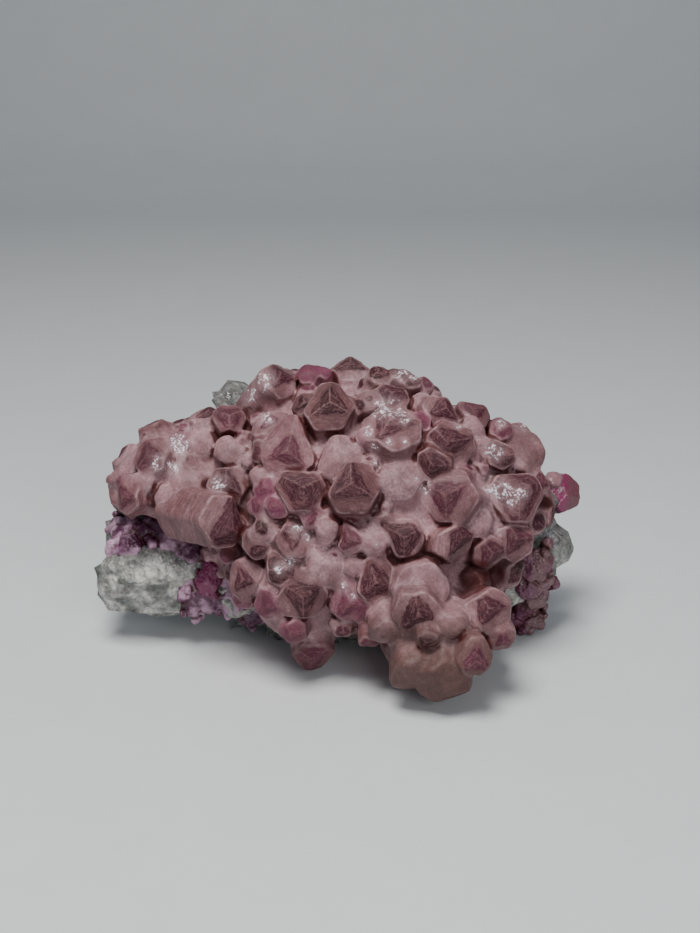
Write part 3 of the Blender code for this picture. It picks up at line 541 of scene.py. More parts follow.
def crystal_distance(points, grown):
    """Distance to a crystal, its edges a little rounded."""
    row = grown.row
    caps, side, local = crystal_parts(points, grown)
    ridge = RIDGE_ROUND + RIDGE_COAT * row.cover
    cap = smooth_max(smooth_max(caps[0], caps[1], ridge), caps[2], ridge)
    whole = smooth_max(cap, side, RIM_ROUND + row.cover)
    return smooth_max(whole, -local[..., 2] - row.length, FOOT_ROUND)


class Growth(NamedTuple):
    """Crystals run together on a crust, and what is cut off them."""

    crystals: list
    crust: object  # distance to the crust, of points
    limit: object  # what the growth stays inside, of points
    merge: float  # how widely crystals run into each other
    root: float  # how widely they run into the crust
    hollows: tuple = ()  # places, radii and depths


def hollow_depth(points, hollows):
    """How deep hollows take the crust down at points, in millimetres."""
    result = np.zeros(points.shape[:-1], dtype=points.dtype)
    for place, radius, depth in hollows:
        away = np.sum((points - place) ** 2, axis=-1) / radius**2
        result += depth * np.exp(-np.minimum(away, 40.0)).astype(points.dtype)
    return result


def ripple(points):
    """Slight waviness of every face, in millimetres."""
    x, y, z = points[..., 0], points[..., 1], points[..., 2]
    wide = np.sin(1.5 * x + 2.0 * np.sin(1.1 * y)) * np.sin(1.4 * z + 1.5 * np.sin(1.2 * x))
    fine = np.sin(2.9 * y + 1.5 * np.sin(2.3 * z)) * np.sin(3.1 * x + 1.2 * np.sin(2.6 * y))
    return RIPPLE * (wide + 0.6 * fine)


def hollowed_crust(points, growth):
    """Distance to a growth's crust with its hollows."""
    return growth.crust(points) + hollow_depth(points, growth.hollows)


def ball_round(grown, margin):
    """The middle and radius of a ball that holds a crystal and a margin."""
    row = grown.row
    middle = grown.tip - grown.frame[2] * (row.length / 2)
    return middle, math.hypot(row.length / 2, row.radius * (1 + FLARE)) + margin


def near_crystal(points, grown, margin):
    """Which points a crystal can touch."""
    middle, reach = ball_round(grown, margin)
    return np.flatnonzero(np.sum((points - middle) ** 2, axis=-1) < reach * reach)


def growth_distance(points, growth):
    """Distance to the whole growth at loose points."""
    joined = np.full(len(points), FAR_AWAY, dtype=points.dtype)
    for grown in growth.crystals:
        near = near_crystal(points, grown, 2.0)
        part = crystal_distance(points[near], grown)
        joined[near] = smooth_min(joined[near], part, growth.merge)
    whole = smooth_min(joined, hollowed_crust(points, growth), growth.root) + ripple(points)
    return np.maximum(whole, growth.limit(points))


def growth_grid(growth, low, high, step):
    """The growth's distance on a grid of points from a low to a high corner."""
    axes = [np.arange(low[k], high[k] + step, step, dtype=np.float32) for k in range(3)]
    points = np.stack(np.meshgrid(*axes, indexing="ij"), axis=-1)
    joined = np.full(points.shape[:3], FAR_AWAY, dtype=np.float32)
    for grown in growth.crystals:
        middle, reach = ball_round(grown, 1.0)
        first = np.maximum((middle - reach - low) / step, 0).astype(int)
        last = np.maximum((middle + reach - low) / step + 2, 0).astype(int)
        spans = tuple(slice(*span) for span in zip(first, last))
        if joined[spans].size:
            part = crystal_distance(points[spans], grown)
            joined[spans] = smooth_min(joined[spans], part, growth.merge)
    result = np.empty_like(joined)
    for k in range(len(axes[0])):
        slab = smooth_min(joined[k], hollowed_crust(points[k], growth), growth.root)
        result[k] = np.maximum(slab, growth.limit(points[k]))
    return result


# ---------------------------------------------------------------- drawing a field out as a mesh


CORNERS = np.array([(i, j, k) for i in (0, 1) for j in (0, 1) for k in (0, 1)])
CELL_EDGES = [(a, b) for a in range(8) for b in range(a + 1, 8)
              if np.sum(np.abs(CORNERS[a] - CORNERS[b])) == 1]


def draw_out(field, low, step):
    """Points and four-sided faces where a field on a grid passes zero."""
    inside = field < 0
    inside[[0, -1]] = inside[:, [0, -1]] = inside[:, :, [0, -1]] = False
    field = np.where(inside, np.minimum(field, -1e-4), np.maximum(field, 1e-4))
    shape = tuple(n - 1 for n in field.shape)
    count = np.zeros(shape, dtype=np.int8)
    for i, j, k in CORNERS:
        count += inside[i:i + shape[0], j:j + shape[1], k:k + shape[2]]
    mixed = (count > 0) & (count < 8)
    cells = np.argwhere(mixed)
    number_of = np.full(shape, -1, dtype=np.int32)
    number_of[mixed] = np.arange(len(cells))
    total = np.zeros((len(cells), 3))
    crossings = np.zeros(len(cells))
    values = [field[tuple((cells + corner).T)] for corner in CORNERS]
    for a, b in CELL_EDGES:
        crossed = np.flatnonzero((values[a] < 0) != (values[b] < 0))
        share = values[a][crossed] / (values[a][crossed] - values[b][crossed])
        total[crossed] += CORNERS[a] + share[:, None] * (CORNERS[b] - CORNERS[a])
        crossings[crossed] += 1
    points = low + step * (cells + total / crossings[:, None])
    faces = []
    for axis in range(3):
        other, third = (axis + 1) % 3, (axis + 2) % 3
        ahead = np.roll(inside, -1, axis=axis)
        for leaving in (True, False):
            start = np.argwhere((inside & ~ahead) if leaving else (~inside & ahead))
            across, beside = np.eye(3, dtype=int)[other], np.eye(3, dtype=int)[third]
            ring = [start - across - beside, start - beside, start, start - across]
            quad = np.stack([number_of[tuple(cell.T)] for cell in ring], axis=1)
            faces.append(quad if leaving else quad[:, ::-1])
    return points, np.concatenate(faces)


def largest_shell(points, faces):
    """Drop loose crumbs and hidden bubbles."""
    label = np.arange(len(points))
    pairs = np.concatenate([faces[:, [k, (k + 1) % 4]] for k in range(4)])
    while True:
        before = label.copy()
        least = np.minimum(label[pairs[:, 0]], label[pairs[:, 1]])
        np.minimum.at(label, pairs[:, 0], least)
        np.minimum.at(label, pairs[:, 1], least)
        label = label[label]
        if np.array_equal(before, label):
            break
    names, sizes = np.unique(label, return_counts=True)
    kept = label == names[np.argmax(sizes)]
    renumber = np.cumsum(kept) - 1
    return points[kept], renumber[faces[kept[faces[:, 0]]]]


def settle(points, growth, rounds=3):
    """Pull points onto the growth's surface; returns them with the way the surface faces."""
    step = 0.05
    for _ in range(rounds):
        here = growth_distance(points, growth)
        rise = np.stack([growth_distance(points + s, growth) - here for s in np.eye(3) * step],
                        axis=-1) / step
        steepness = np.maximum(np.sum(rise * rise, axis=-1), 0.2)
        points = points - rise * np.clip(here / steepness, -0.3, 0.3)[:, None]
    return points, unit(rise + 1e-9)


def show(name, data):
    """A new object of the scene that shows some data."""
    item = bpy.data.objects.new(name, data)
    bpy.context.scene.collection.objects.link(item)
    return item


def note_on(mesh, name, values):
    """Keep a number or a vector for each point of a mesh."""
    kind, field = ("FLOAT_VECTOR", "vector") if values.ndim == 2 else ("FLOAT", "value")
    layer = mesh.attributes.new(name, kind, "POINT")
    layer.data.foreach_set(field, values.astype(np.float32).ravel())


def new_piece(name, points, faces, attributes):
    """A smooth mesh object in metres, with one attribute a point for each named list."""
    mesh = bpy.data.meshes.new(name)
    mesh.from_pydata((points * MM).tolist(), [], faces.tolist())
    for key, values in attributes.items():
        note_on(mesh, key, values)
    mesh.validate()
    mesh.shade_smooth()
    return show(name, mesh)


def glitter_at(points):
    """How thickly the painted glints, laid as tiny bright crystals, cover each point, from 0 to 1.
    """
    depth = (points - EYE) @ AHEAD
    across = (points - EYE) @ RIGHT * SIGHT_LENGTH / depth
    up = (points - EYE) @ UPWARD * SIGHT_LENGTH / depth
    result = np.zeros(len(points))
    for patch_across, patch_up, radius in GLITTER:
        place = drop_on_form(patch_across, patch_up, TIP_LOBES + ROCK_LOBES)
        away = np.hypot(across - patch_across, up - patch_up)
        near = np.sum((points - place) ** 2, axis=-1) < GLITTER_REACH**2
        dust_and_glints = np.clip(GLITTER_MIDDLE - GLITTER_FADE * away / radius, 0.0, GLITTER_MOST)
        result = np.maximum(result, near * dust_and_glints)
    return result


def openness(points, facing, growth):
    """1 on open faces, towards 0 deep in the gaps, where the finishes paint shade."""
    result = np.ones(len(points))
    for away, weight in OPEN_REACHES:
        free = growth_distance(points + facing * away, growth) / away
        result -= weight * (1.0 - np.clip(free, 0.0, 1.0))
    return result


def face_values(caps, side, local, row):
    """How a crystal's finish runs over its own points."""
    ordered = np.sort(np.stack(caps), axis=0)
    rim = ordered[2] - side
    sill = row.radius * row.pane * math.tan(CAP_SLOPE)
    return {
        "rim": rim,
        "pane": np.minimum((sill + local[..., 2]) / CAP_RUN, rim - PANE_MARGIN),
        "ridge": (ordered[2] - ordered[1]) / (2 * CAP_RUN * math.sin(math.pi / 3)),
        "cover": np.full(len(rim), row.cover),
        "tint": np.full(len(rim), row.tint),
    }


def describe(points, facing, growth):
    """What the finishes need to know at each point of a growth."""
    count = len(points)
    total = {key: np.zeros(count) for key in CRUST_VALUES}
    shares = np.zeros(count)
    heaviest = np.zeros(count)
    place = np.zeros((count, 3))
    for grown in growth.crystals:
        near = near_crystal(points, grown, 1.0)
        caps, side, local = crystal_parts(points[near], grown)
        distance = np.maximum(np.max(np.stack(caps), axis=0), side)
        share = np.exp(-np.clip(distance, -2.0, 6.0) / ATTRIBUTE_BLEND)
        shares[near] += share
        for key, value in face_values(caps, side, local, grown.row).items():
            total[key][near] += share * np.clip(value, -VALUE_REACH, VALUE_REACH)
        wins = share > heaviest[near]
        place[near[wins]] = local[wins]
        heaviest[near[wins]] = share[wins]
    crust = np.exp(-VALUE_REACH / ATTRIBUTE_BLEND)
    values = {key: (total[key] + crust * bare) / (shares + crust)
              for key, bare in CRUST_VALUES.items()}
    values["local"] = place
    values["relief"] = np.clip(growth.crust(points), -1, 6)
    values["glitter"] = glitter_at(points)
    hollow = np.clip(hollow_depth(points, growth.hollows) / 2.0, 0.0, 1.0)
    # Lower still in the hollows, so that the painted shade darkens them more.
    values["open"] = openness(points, facing, growth) * (1.0 - 0.8 * hollow)
    return values


# ---------------------------------------------------------------- finishes


class Finish:
    """A node material being put together."""

    def __init__(self, name, **settings):
        self.material = bpy.data.materials.new(name)
        self.material.use_nodes = True
        self.tree = self.material.node_tree
        self.shader = self.tree.nodes["Principled BSDF"]
        for key, value in settings.items():
            socket = key.replace("_", " ").title().replace("Ior", "IOR")
            self.shader.inputs[socket].default_value = value
        self.place = self.tree.nodes.new("ShaderNodeTexCoord").outputs["Object"]

    def join(self, socket, value):
        """Link a socket to another, or set it."""
        if isinstance(value, bpy.types.NodeSocket):
            self.tree.links.new(value, socket)
        elif socket.type == "RGBA":
            socket.default_value = (*value, 1.0)
        else:
            socket.default_value = value

    def add(self, kind, sockets, output=0, **settings):
        """A node with its settings and its inputs; returns one of its outputs."""
        node = self.tree.nodes.new("ShaderNode" + kind)
        for key, value in settings.items():
            setattr(node, key, value)
        for key, value in sockets.items():
            self.join(node.inputs[key], value)
        return node.outputs[output]

    def mesh_value(self, name, output="Fac"):
        """An attribute of the mesh."""
        return self.add("Attribute", {}, output, attribute_name=name)

    def part(self, vector, index):
        """One of a vector's three numbers."""
        return self.add("SeparateXYZ", {"Vector": vector}, index)

    def maths(self, operation, first, second=0.0):
        """Two numbers put together."""
        return self.add("Math", {0: first, 1: second}, operation=operation)

    def times(self, first, second):
        """One number times another."""
        return self.maths("MULTIPLY", first, second)

    def moved(self, value, other, share):
        """A number with a share of another added."""
        return self.maths("ADD", value, self.times(other, share))

    def vectors(self, operation, first, second):
        """Two vectors put together."""
        return self.add("VectorMath", {0: first, 1: second}, operation=operation)

    def step(self, value, low, high, bottom=0.0, top=1.0):
        """A soft step of a value between two levels."""
        return self.add("MapRange", {0: value, 1: low, 2: high, 3: bottom, 4: top},
                        interpolation_type="SMOOTHSTEP")

    def blend(self, share, first, second):
        """From a first colour to a second."""
        return self.add("Mix", {0: share, 6: first, 7: second}, 2, data_type="RGBA")

    def multiply(self, first, second):
        """One colour times another."""
        return self.add("Mix", {0: 1.0, 6: first, 7: second}, 2, data_type="RGBA",
                        blend_type="MULTIPLY")

    def shade_of(self, value, darkest, lightest):
        """A grey to multiply by, from a value whose middle is 1."""
        level = self.step(value, 0.6, 1.4, darkest, lightest)
        return self.add("CombineColor", {"Red": level, "Green": level, "Blue": level})

    def stretch(self, vector, across, along):
        """Coordinates pulled out differently along the third direction."""
        return self.add("Mapping", {"Vector": vector, "Scale": (across, across, along)})

    def grain(self, size, detail=2.0, vector=None, twist=0.0):
        """Soft noise whose lumps are about a size in metres, or in the vector's units."""
        return self.add("TexNoise", {"Vector": vector or self.place, "Scale": 1.0 / size,
                                     "Detail": detail, "Distortion": twist})

    def cells(self, size, output="Distance"):
        """Cells of about a size."""
        return self.add("TexVoronoi", {"Vector": self.place, "Scale": 1.0 / size}, output)

    def relief(self, height, depth, below=None):
        """A bump of a height map that spans a depth in metres."""
        sockets = {"Height": height, "Distance": depth, "Strength": 1.0}
        if below is not None:
            sockets["Normal"] = below
        return self.add("Bump", sockets)

    def finish(self, colour, roughness, normal):
        """Hand the results to the shader."""
        self.join(self.shader.inputs["Base Color"], colour)
        self.join(self.shader.inputs["Roughness"], roughness)
        self.join(self.shader.inputs["Normal"], normal)
        return self.material


def glitter_normal(finish, amount, below, size):
    """Tiny flat facets that face every way, where the amount is high."""
    f = finish
    facets = f.cells(size, "Color")
    tilt = f.vectors("SUBTRACT", facets, (0.5, 0.5, 0.5))
    tilt = f.add("VectorMath", {0: tilt, "Scale": amount}, operation="SCALE")
    total = f.vectors("ADD", below, tilt)
    return f.add("VectorMath", {0: total}, operation="NORMALIZE")


def sparkle(finish, dust_and_glints, size):
    """Tiny flat facets of about a size, painted bright as glints, more of them where the dust and
    glints are thick.
    """
    f = finish
    lot = f.part(f.cells(size, "Color"), 0)
    return f.step(f.maths("ADD", lot, dust_and_glints), 1.5, 1.85)


def growth_lines(finish, local, level, size):
    """Broken lines that run at one level round a crystal, from 0 to 1."""
    f = finish
    flat = f.stretch(local, 0.16, 0.0)
    raised = f.add("CombineXYZ", {"Z": level})
    return f.grain(size, 2.0, f.vectors("ADD", flat, raised))


def clear_pane(finish, colours, ridge, tint, wobble, nested):
    """The colour seen through a crystal's cap: dark, with nested pale lines and ridges."""
    f = finish
    dark = f.blend(tint, colours.window, colours.rose)
    cloud = f.step(f.grain(0.0026, 3.0), 0.45, 0.7, 0.0, 0.4)
    dark = f.blend(cloud, dark, colours.side)
    flecks = f.step(f.grain(0.0004, 4.0, twist=0.4), 0.5, 0.68, 0.0, 0.5)
    dark = f.blend(flecks, dark, colours.rim)
    dark = f.blend(f.step(nested, 0.5, 0.6, 0.0, 0.5), dark, colours.rim)
    line = f.moved(ridge, wobble, 0.25)
    return f.blend(f.step(line, 0.26, 0.06, 0.0, 0.75), dark, colours.rim)


def crystal_body(finish, colours, pane, tint, wobble, nested):
    """The colour round a pane and down a crystal's sides, and its growth lines."""
    f = finish
    local = f.mesh_value("local", "Vector")
    rings = growth_lines(f, local, f.maths("ADD", f.part(local, 2), wobble), 0.45)
    streak = f.grain(0.4, 3.0, f.stretch(local, 1.0, 0.22))
    side = f.blend(f.step(streak, 0.35, 0.7, 0.0, 0.6), colours.side, colours.rim)
    side = f.blend(f.step(rings, 0.5, 0.62, 0.0, 0.6), side, colours.coat)
    rosy = f.step(tint, 0.2, 0.9, 0.0, 0.85)
    side = f.blend(rosy, side, colours.rose)
    band = f.blend(f.step(nested, 0.5, 0.6, 0.0, 0.6), colours.rim, colours.coat)
    band = f.blend(f.step(nested, 0.46, 0.36, 0.0, 0.7), band, colours.side)
    near = f.step(pane, -1.3, -0.1, 0.0, 0.45)
    band = f.blend(near, band, colours.side)
    band = f.blend(rosy, band, colours.rose)
    body = f.blend(f.step(pane, -2.4, -1.0), side, band)
    return f.blend(f.step(tint, 0.2, 0.06, 0.0, 0.5), body, colours.mauve), rings


def low_front_darkening(finish):
    """How far the crust is made browner and darker, low down at the front."""
    f = finish
    place = f.add("VectorMath", {0: f.place, 1: (0.0, 1.0, 1.0)}, 1,
                  operation="DOT_PRODUCT")
    spread = f.moved(place, f.grain(0.006, 3.0), 0.012)
    return f.step(spread, 0.004, -0.012, 0.0, 0.75)


def pink_calcite(colours):
    """Windowed crystals: dark clear panes, pale rims, streaked sides, sugary crust."""
    f = Finish("pink calcite", specular_ior_level=0.2, subsurface_weight=0.2,
               subsurface_scale=0.001, subsurface_radius=(1.2, 0.5, 0.5), ior=1.5)
    rim, pane, ridge, relief = (f.mesh_value(name) for name in ("rim", "pane", "ridge", "relief"))
    cover, tint, dust_and_glints = (f.mesh_value(name) for name in ("cover", "tint", "glitter"))
    dust_and_glints = f.times(dust_and_glints, f.step(f.grain(0.0016, 2.0), 0.38, 0.58, 0.55, 1.0))
    gap = f.mesh_value("open")
    wobble = f.maths("SUBTRACT", f.grain(0.0014, 4.0), 0.5)
    window = f.step(f.moved(pane, wobble, 1.1), -0.22, 0.22)
    level = f.moved(pane, wobble, 0.4)
    nested = growth_lines(f, f.mesh_value("local", "Vector"), level, 0.32)
    body, rings = crystal_body(f, colours, pane, tint, wobble, nested)
    frost = f.times(f.step(f.grain(0.0005, 3.0), 0.1, 0.9),
                    f.step(f.grain(0.006, 3.0), 0.4, 0.62, 0.3, 1.0))
    coat = f.blend(frost, colours.coat, colours.coat_light)
    coat = f.blend(f.step(f.grain(0.005, 3.0), 0.5, 0.75, 0.0, 0.5), coat, colours.rim)
    low = f.step(f.moved(relief, wobble, 2.4), 0.2, 3.0)
    body = f.blend(low, coat, body)
    dusted = f.times(cover, f.step(f.grain(0.0025, 3.0), 0.3, 0.6, 0.55, 1.0))
    body = f.blend(dusted, body, coat)
    # A pale line along each cap's rim: partly the rim's own pale edge, partly a painted edge
    # highlight.
    edge = f.maths("ABSOLUTE", f.moved(rim, wobble, 0.3))
    thin = f.times(f.step(edge, 0.45, 0.0), f.step(f.grain(0.0022), 0.35, 0.6, 0.05, 0.4))
    body = f.blend(thin, body, colours.coat_light)
    body = f.blend(low_front_darkening(f), body, colours.foot)
    colour = f.blend(window, body, clear_pane(f, colours, ridge, tint, wobble, nested))
    # Painted shade: crevices and hollows darkened to a deep red where the openness is low.
    deep = f.step(gap, 0.46, 0.12, 0.0, 0.85)
    stipple = f.maths("ADD", f.grain(0.0003, 3.0), f.grain(0.0012, 3.0))
    colour = f.multiply(colour, f.shade_of(stipple, 0.8, 1.2))
    colour = f.multiply(colour, f.shade_of(f.maths("ADD", f.grain(0.007, 2.0), 0.5), 0.72, 1.28))
    colour = f.blend(deep, colour, colours.gap)
    # Painted sheen: the crust's palest colour laid over the glitter patches.
    colour = f.blend(f.times(dust_and_glints, 0.4), colour, colours.coat_light)
    # Painted glints: tiny facets painted near white where the dust and glints are thick.
    bright = f.maths("MAXIMUM", sparkle(f, dust_and_glints, 0.0004), sparkle(f, dust_and_glints, 0.00026))
    colour = f.blend(bright, colour, colours.dust_and_glints)
    rough = f.step(window, 0.0, 1.0, 0.5, 0.6)
    rough = f.add("Mix", {0: dust_and_glints, 2: rough, 3: 0.22}, data_type="FLOAT")
    sugar = f.times(f.maths("SUBTRACT", 1.0, low), f.grain(0.0006, 3.0))
    fine = f.relief(f.grain(0.0003, 3.0), 0.00005)
    lumps = f.relief(sugar, 0.00008, fine)
    lines = f.relief(f.times(rings, f.step(pane, 0.0, -1.2)), 0.00008, lumps)
    return f.finish(colour, rough, f.relief(bright, 0.00012, lines))


def crusted_rock(colours):
    """Broken sugary calcite: grey-white grains, greenish hollows, a top darkened by painted shade,
    glints partly painted as pale flecks.
    """
    f = Finish("sugary rock", subsurface_weight=0.15, subsurface_scale=0.001, ior=1.5)
    mottled = f.step(f.grain(0.003, 5.0), 0.38, 0.62)
    colour = f.blend(mottled, colours.rock, colours.rock_light)
    shade = f.part(f.cells(0.0008, "Color"), 0)
    colour = f.blend(f.step(shade, 0.3, 1.0, 0.0, 0.35), colour, colours.rock_dark_and_top_shade)
    # Painted shade: the rock is darkened higher up, where it lies under the overhanging druse.
    high = f.step(f.moved(f.part(f.place, 2), f.grain(0.003), 0.008), 0.0195, 0.0235)
    colour = f.blend(f.times(high, 0.7), colour, colours.rock_dark_and_top_shade)
    dust_and_glints = f.mesh_value("glitter")
    # Painted glints on the rock: pale flecks in the glitter patches.
    flecks = f.times(dust_and_glints, f.step(f.cells(0.0005), 0.55, 0.15))
    colour = f.blend(flecks, colour, colours.dust_and_glints)
    sugar = f.shade_of(f.maths("ADD", f.grain(0.0006, 4.0), f.grain(0.0018, 3.0)), 0.55, 1.35)
    colour = f.multiply(colour, sugar)
    rough = f.step(shade, 0.2, 0.9, 0.6, 0.2)
    fine = f.relief(f.grain(0.0004, 3.0), 0.0001)
    normal = f.relief(f.cells(0.0011), 0.0004, fine)
    facets = f.maths("ADD", f.times(dust_and_glints, 0.7), 0.25)
    return f.finish(colour, rough, glitter_normal(f, facets, normal, 0.0008))


def purple_druse(colours):
    """Small purple crystals, lavender where they are dusted."""
    f = Finish("purple druse", subsurface_weight=0.2, subsurface_scale=0.0008,
               subsurface_radius=(1.0, 0.5, 0.8), ior=1.55)
    tint, gap = f.mesh_value("tint"), f.mesh_value("open")
    right = f.step(f.part(f.place, 0), 0.0, 0.02)
    dark = f.blend(f.times(right, 0.6), colours.druse, colours.rose)
    light = f.blend(right, colours.druse_light, colours.rim)
    patches = f.step(f.grain(0.0045, 4.0), 0.42, 0.58)
    colour = f.blend(patches, dark, light)
    vivid = f.blend(0.4, colours.magenta, colours.druse)
    colour = f.blend(f.step(tint, 0.3, 0.7), colour, vivid)
    flecks = f.step(f.grain(0.0006, 2.0), 0.55, 0.75, 0.0, 0.35)
    colour = f.blend(flecks, colour, colours.druse_light)
    # Painted shade: the druse's gaps darkened where the openness is low.
    colour = f.blend(f.step(gap, 0.8, 0.35, 0.0, 0.85), colour, colours.gap)
    rough = f.step(f.grain(0.0015), 0.3, 0.7, 0.15, 0.5)
    fine = f.relief(f.grain(0.00035, 3.0), 0.0001)
    normal = f.relief(f.cells(0.0007), 0.0002, fine)
    return f.finish(colour, rough, glitter_normal(f, 0.25, normal, 0.0006))


def magenta_calcite(colours):
    """The vivid crystal at the right end."""
    f = Finish("magenta calcite", subsurface_weight=0.3, subsurface_scale=0.001,
               subsurface_radius=(1.0, 0.3, 0.5), ior=1.6)
    rim, ridge = f.mesh_value("rim"), f.mesh_value("ridge")
    tint = f.mesh_value("tint")
    colour = f.blend(f.step(f.grain(0.002, 2.0), 0.35, 0.7), colours.magenta,
                     colours.rose)
    colour = f.blend(f.step(ridge, 0.4, 0.05, 0.0, 0.5), colour, colours.rim)
    colour = f.blend(f.step(rim, 0.1, -0.6, 0.0, 0.35), colour, colours.side)
    end = f.step(f.part(f.place, 0), 0.0430, 0.0446, 0.0, 0.75)
    colour = f.blend(end, colour, colours.side)
    colour = f.blend(f.step(tint, 0.8, 0.5), colour, colours.coat)
    normal = f.relief(f.grain(0.0006, 3.0), 0.00012)
    return f.finish(colour, f.step(f.grain(0.0012), 0.3, 0.7, 0.1, 0.35), normal)


def plain_floor():
    """Pale matt board."""
    f = Finish("pale board", ior=1.45)
    colour = f.blend(f.grain(0.02, 3.0), *BOARD_COLOURS)
    return f.finish(colour, f.step(f.grain(0.004), 0.3, 0.7, 0.6, 0.75),
                    f.relief(f.grain(0.0006, 2.0), 0.00004))


# ---------------------------------------------------------------- the specimen's pieces


def kept_out(bite):
    """A function that is positive deeper than a bite into the rock, and below the table."""
    return lambda points: np.maximum(-(form_distance(points, ROCK_LOBES) + bite), -points[..., 2])


def build_growth(name, growth, step, low, high):
    """Draw a growth out as a mesh object with its attributes."""
    low = np.array(low, dtype=np.float32)
    high = np.array(high, dtype=np.float32)
    field = growth_grid(growth, low, high, step)
    points, faces = draw_out(field, low, step)
    points, faces = largest_shell(points, faces)
    points, facing = settle(points, growth)
    return new_piece(name, points, faces, describe(points, facing, growth))


def box_round(growth, margin):
    """A box that holds all of a growth's crystals and a margin."""
    corners = []
    for grown in growth.crystals:
        row = grown.row
        for end in (grown.tip, grown.tip - grown.frame[2] * row.length):
            corners += [end - row.radius, end + row.radius]
    low, high = np.min(corners, axis=0) - margin, np.max(corners, axis=0) + margin
    low[2] = max(low[2], -1.0)
    return low, high


def crust_under(lobes, depth):
    """A function for a crust that lies a depth below lobes."""
    return lambda points: form_distance(points, lobes) + depth


def build_cluster(step):
    """The pink crystals and the crust that joins them."""
    crystals = grow_table(PINK_CRYSTALS, TIP_LOBES) + grow_fringe()
    crystals += grow_buds(crystals)
    hollows = tuple((drop_on_form(across, up, TIP_LOBES, HOLLOW_LEVEL), radius, depth)
                    for across, up, radius, depth in HOLLOWS)
    growth = Growth(crystals, crust_under(TIP_LOBES, COAT_DEPTH), kept_out(ROCK_BITE),
                    CLUSTER_MERGE, CLUSTER_ROOT, hollows)
    low, high = box_round(growth, 2.0)
    return build_growth("pink_calcite_crystals", growth, step, low, high)


def with_crumbs(table, seed):
    """A table's crystals with smaller ones sprinkled among them, in place."""
    draw = random.Random(seed)
    rows = list(table)
    for row in table:
        for _ in range(CRUMBS_EACH):
            around = draw.uniform(0, 2 * math.pi)
            away = row.radius * draw.uniform(0.5, 1.1)
            radius = draw.uniform(*CRUMB_RADII)
            rows.append(row._replace(
                across=row.across + away * math.cos(around), up=row.up + away * math.sin(around),
                radius=radius, length=radius * SLENDERNESS,
                turn=draw.uniform(0, 120), rise=-draw.uniform(0, 1.2),
                lean_right=row.lean_right + draw.uniform(-CRUMB_LEAN, CRUMB_LEAN),
                lean_up=row.lean_up + draw.uniform(-CRUMB_LEAN, CRUMB_LEAN)))
    return grow_table(rows, ROCK_LOBES, DRUSE_RISE)


def build_druse(name, crystals, step, merge):
    """A crust of small crystals on the rock."""
    growth = Growth(crystals, crust_under(ROCK_LOBES, NO_CRUST), kept_out(DRUSE_BITE),
                    merge, DRUSE_ROOT)
    low, high = box_round(growth, 1.0)
    return build_growth(name, growth, step, low, high)


def build_rock(divisions):
    """The matrix rock, broken into ledges and sugary grains."""
    bpy.ops.mesh.primitive_ico_sphere_add(subdivisions=divisions, radius=1.0)
    piece = bpy.context.object
    piece.name = piece.data.name = "matrix_stone"
    count = len(piece.data.vertices)
    places = np.empty(count * 3)
    piece.data.vertices.foreach_get("co", places)
    directions = unit(places.reshape(-1, 3))
    reach = ray_hit(ROCK_CENTRE, directions, ROCK_LOBES)
    points = ROCK_CENTRE + directions * reach[:, None]
    for number, point in enumerate(points):
        place = Vector(point)
        ledge = noise.cell(place / ROCK_BREAK_SIZE) - 0.5
        ripple = noise.noise(place / ROCK_BREAK_SIZE * 2.0)
        push = ROCK_BREAK * (ledge + ROCK_RIPPLE * ripple)
        for size, tilt in ROCK_FACETS:
            centre = noise.voronoi(place / size)[1][0]
            way = noise.cell_vector(centre * FACET_SHUFFLE) - Vector((0.5, 0.5, 0.5))
            push += tilt * size * way.dot(place / size - centre)
        points[number] += directions[number] * push
    points[:, 2] = np.maximum(points[:, 2], 0.0)
    piece.data.vertices.foreach_set("co", (points * MM).ravel())
    note_on(piece.data, "glitter", glitter_at(points))
    piece.data.update()
    piece.data.shade_smooth()
    return piece


# ---------------------------------------------------------------- the add-on


def colour_setting(name, description, default):
    """A colour that a user may change."""
    return FloatVectorProperty(name=name, description=description, default=default,
                               subtype="COLOR", size=3, min=0.0, max=1.0)


class CalciteColours(bpy.types.PropertyGroup):
    """Colours of the crystals, crusts and rock."""

    window: colour_setting("Window", "The clear dark panes", (0.028, 0.007, 0.0095))
    rose: colour_setting("Rose", "The pinker crystals", (0.150, 0.034, 0.070))
    side: colour_setting("Side", "The crystals' streaked sides", (0.112, 0.046, 0.048))
    mauve: colour_setting("Mauve", "The darker, browner crystals", (0.072, 0.028, 0.030))
    rim: colour_setting("Rim", "The pale rims of the clear panes", (0.152, 0.072, 0.078))
    coat: colour_setting("Crust", "The sugary crust between crystals", (0.245, 0.127, 0.141))
    coat_light: colour_setting("Crust light", "The crust's palest grains", (0.46, 0.31, 0.33))
    foot: colour_setting("Foot", "The browner crust low at the front", (0.085, 0.045, 0.036))
    # Painted shade, laid deep in the gaps between the crystals.
    gap: colour_setting("Gap", "Deep in the gaps", (0.06, 0.007, 0.007))
    # Painted glints, laid as tiny bright crystals.
    dust_and_glints: colour_setting("Dust", "The tiny bright crystals", (0.72, 0.66, 0.72))
    rock: colour_setting("Rock", "The matrix rock", (0.17, 0.175, 0.162))
    rock_light: colour_setting("Rock light", "The rock's white grains", (0.54, 0.53, 0.49))
    # Also the painted shade on the rock's top.
    rock_dark_and_top_shade: colour_setting("Rock dark", "The rock's grey top", (0.09, 0.085, 0.085))
    druse: colour_setting("Druse", "The purple crusts", (0.080, 0.017, 0.052))
    druse_light: colour_setting("Druse light", "The crusts' lavender dust", (0.42, 0.25, 0.35))
    magenta: colour_setting("Magenta", "The vivid crystals", (0.22, 0.009, 0.08))


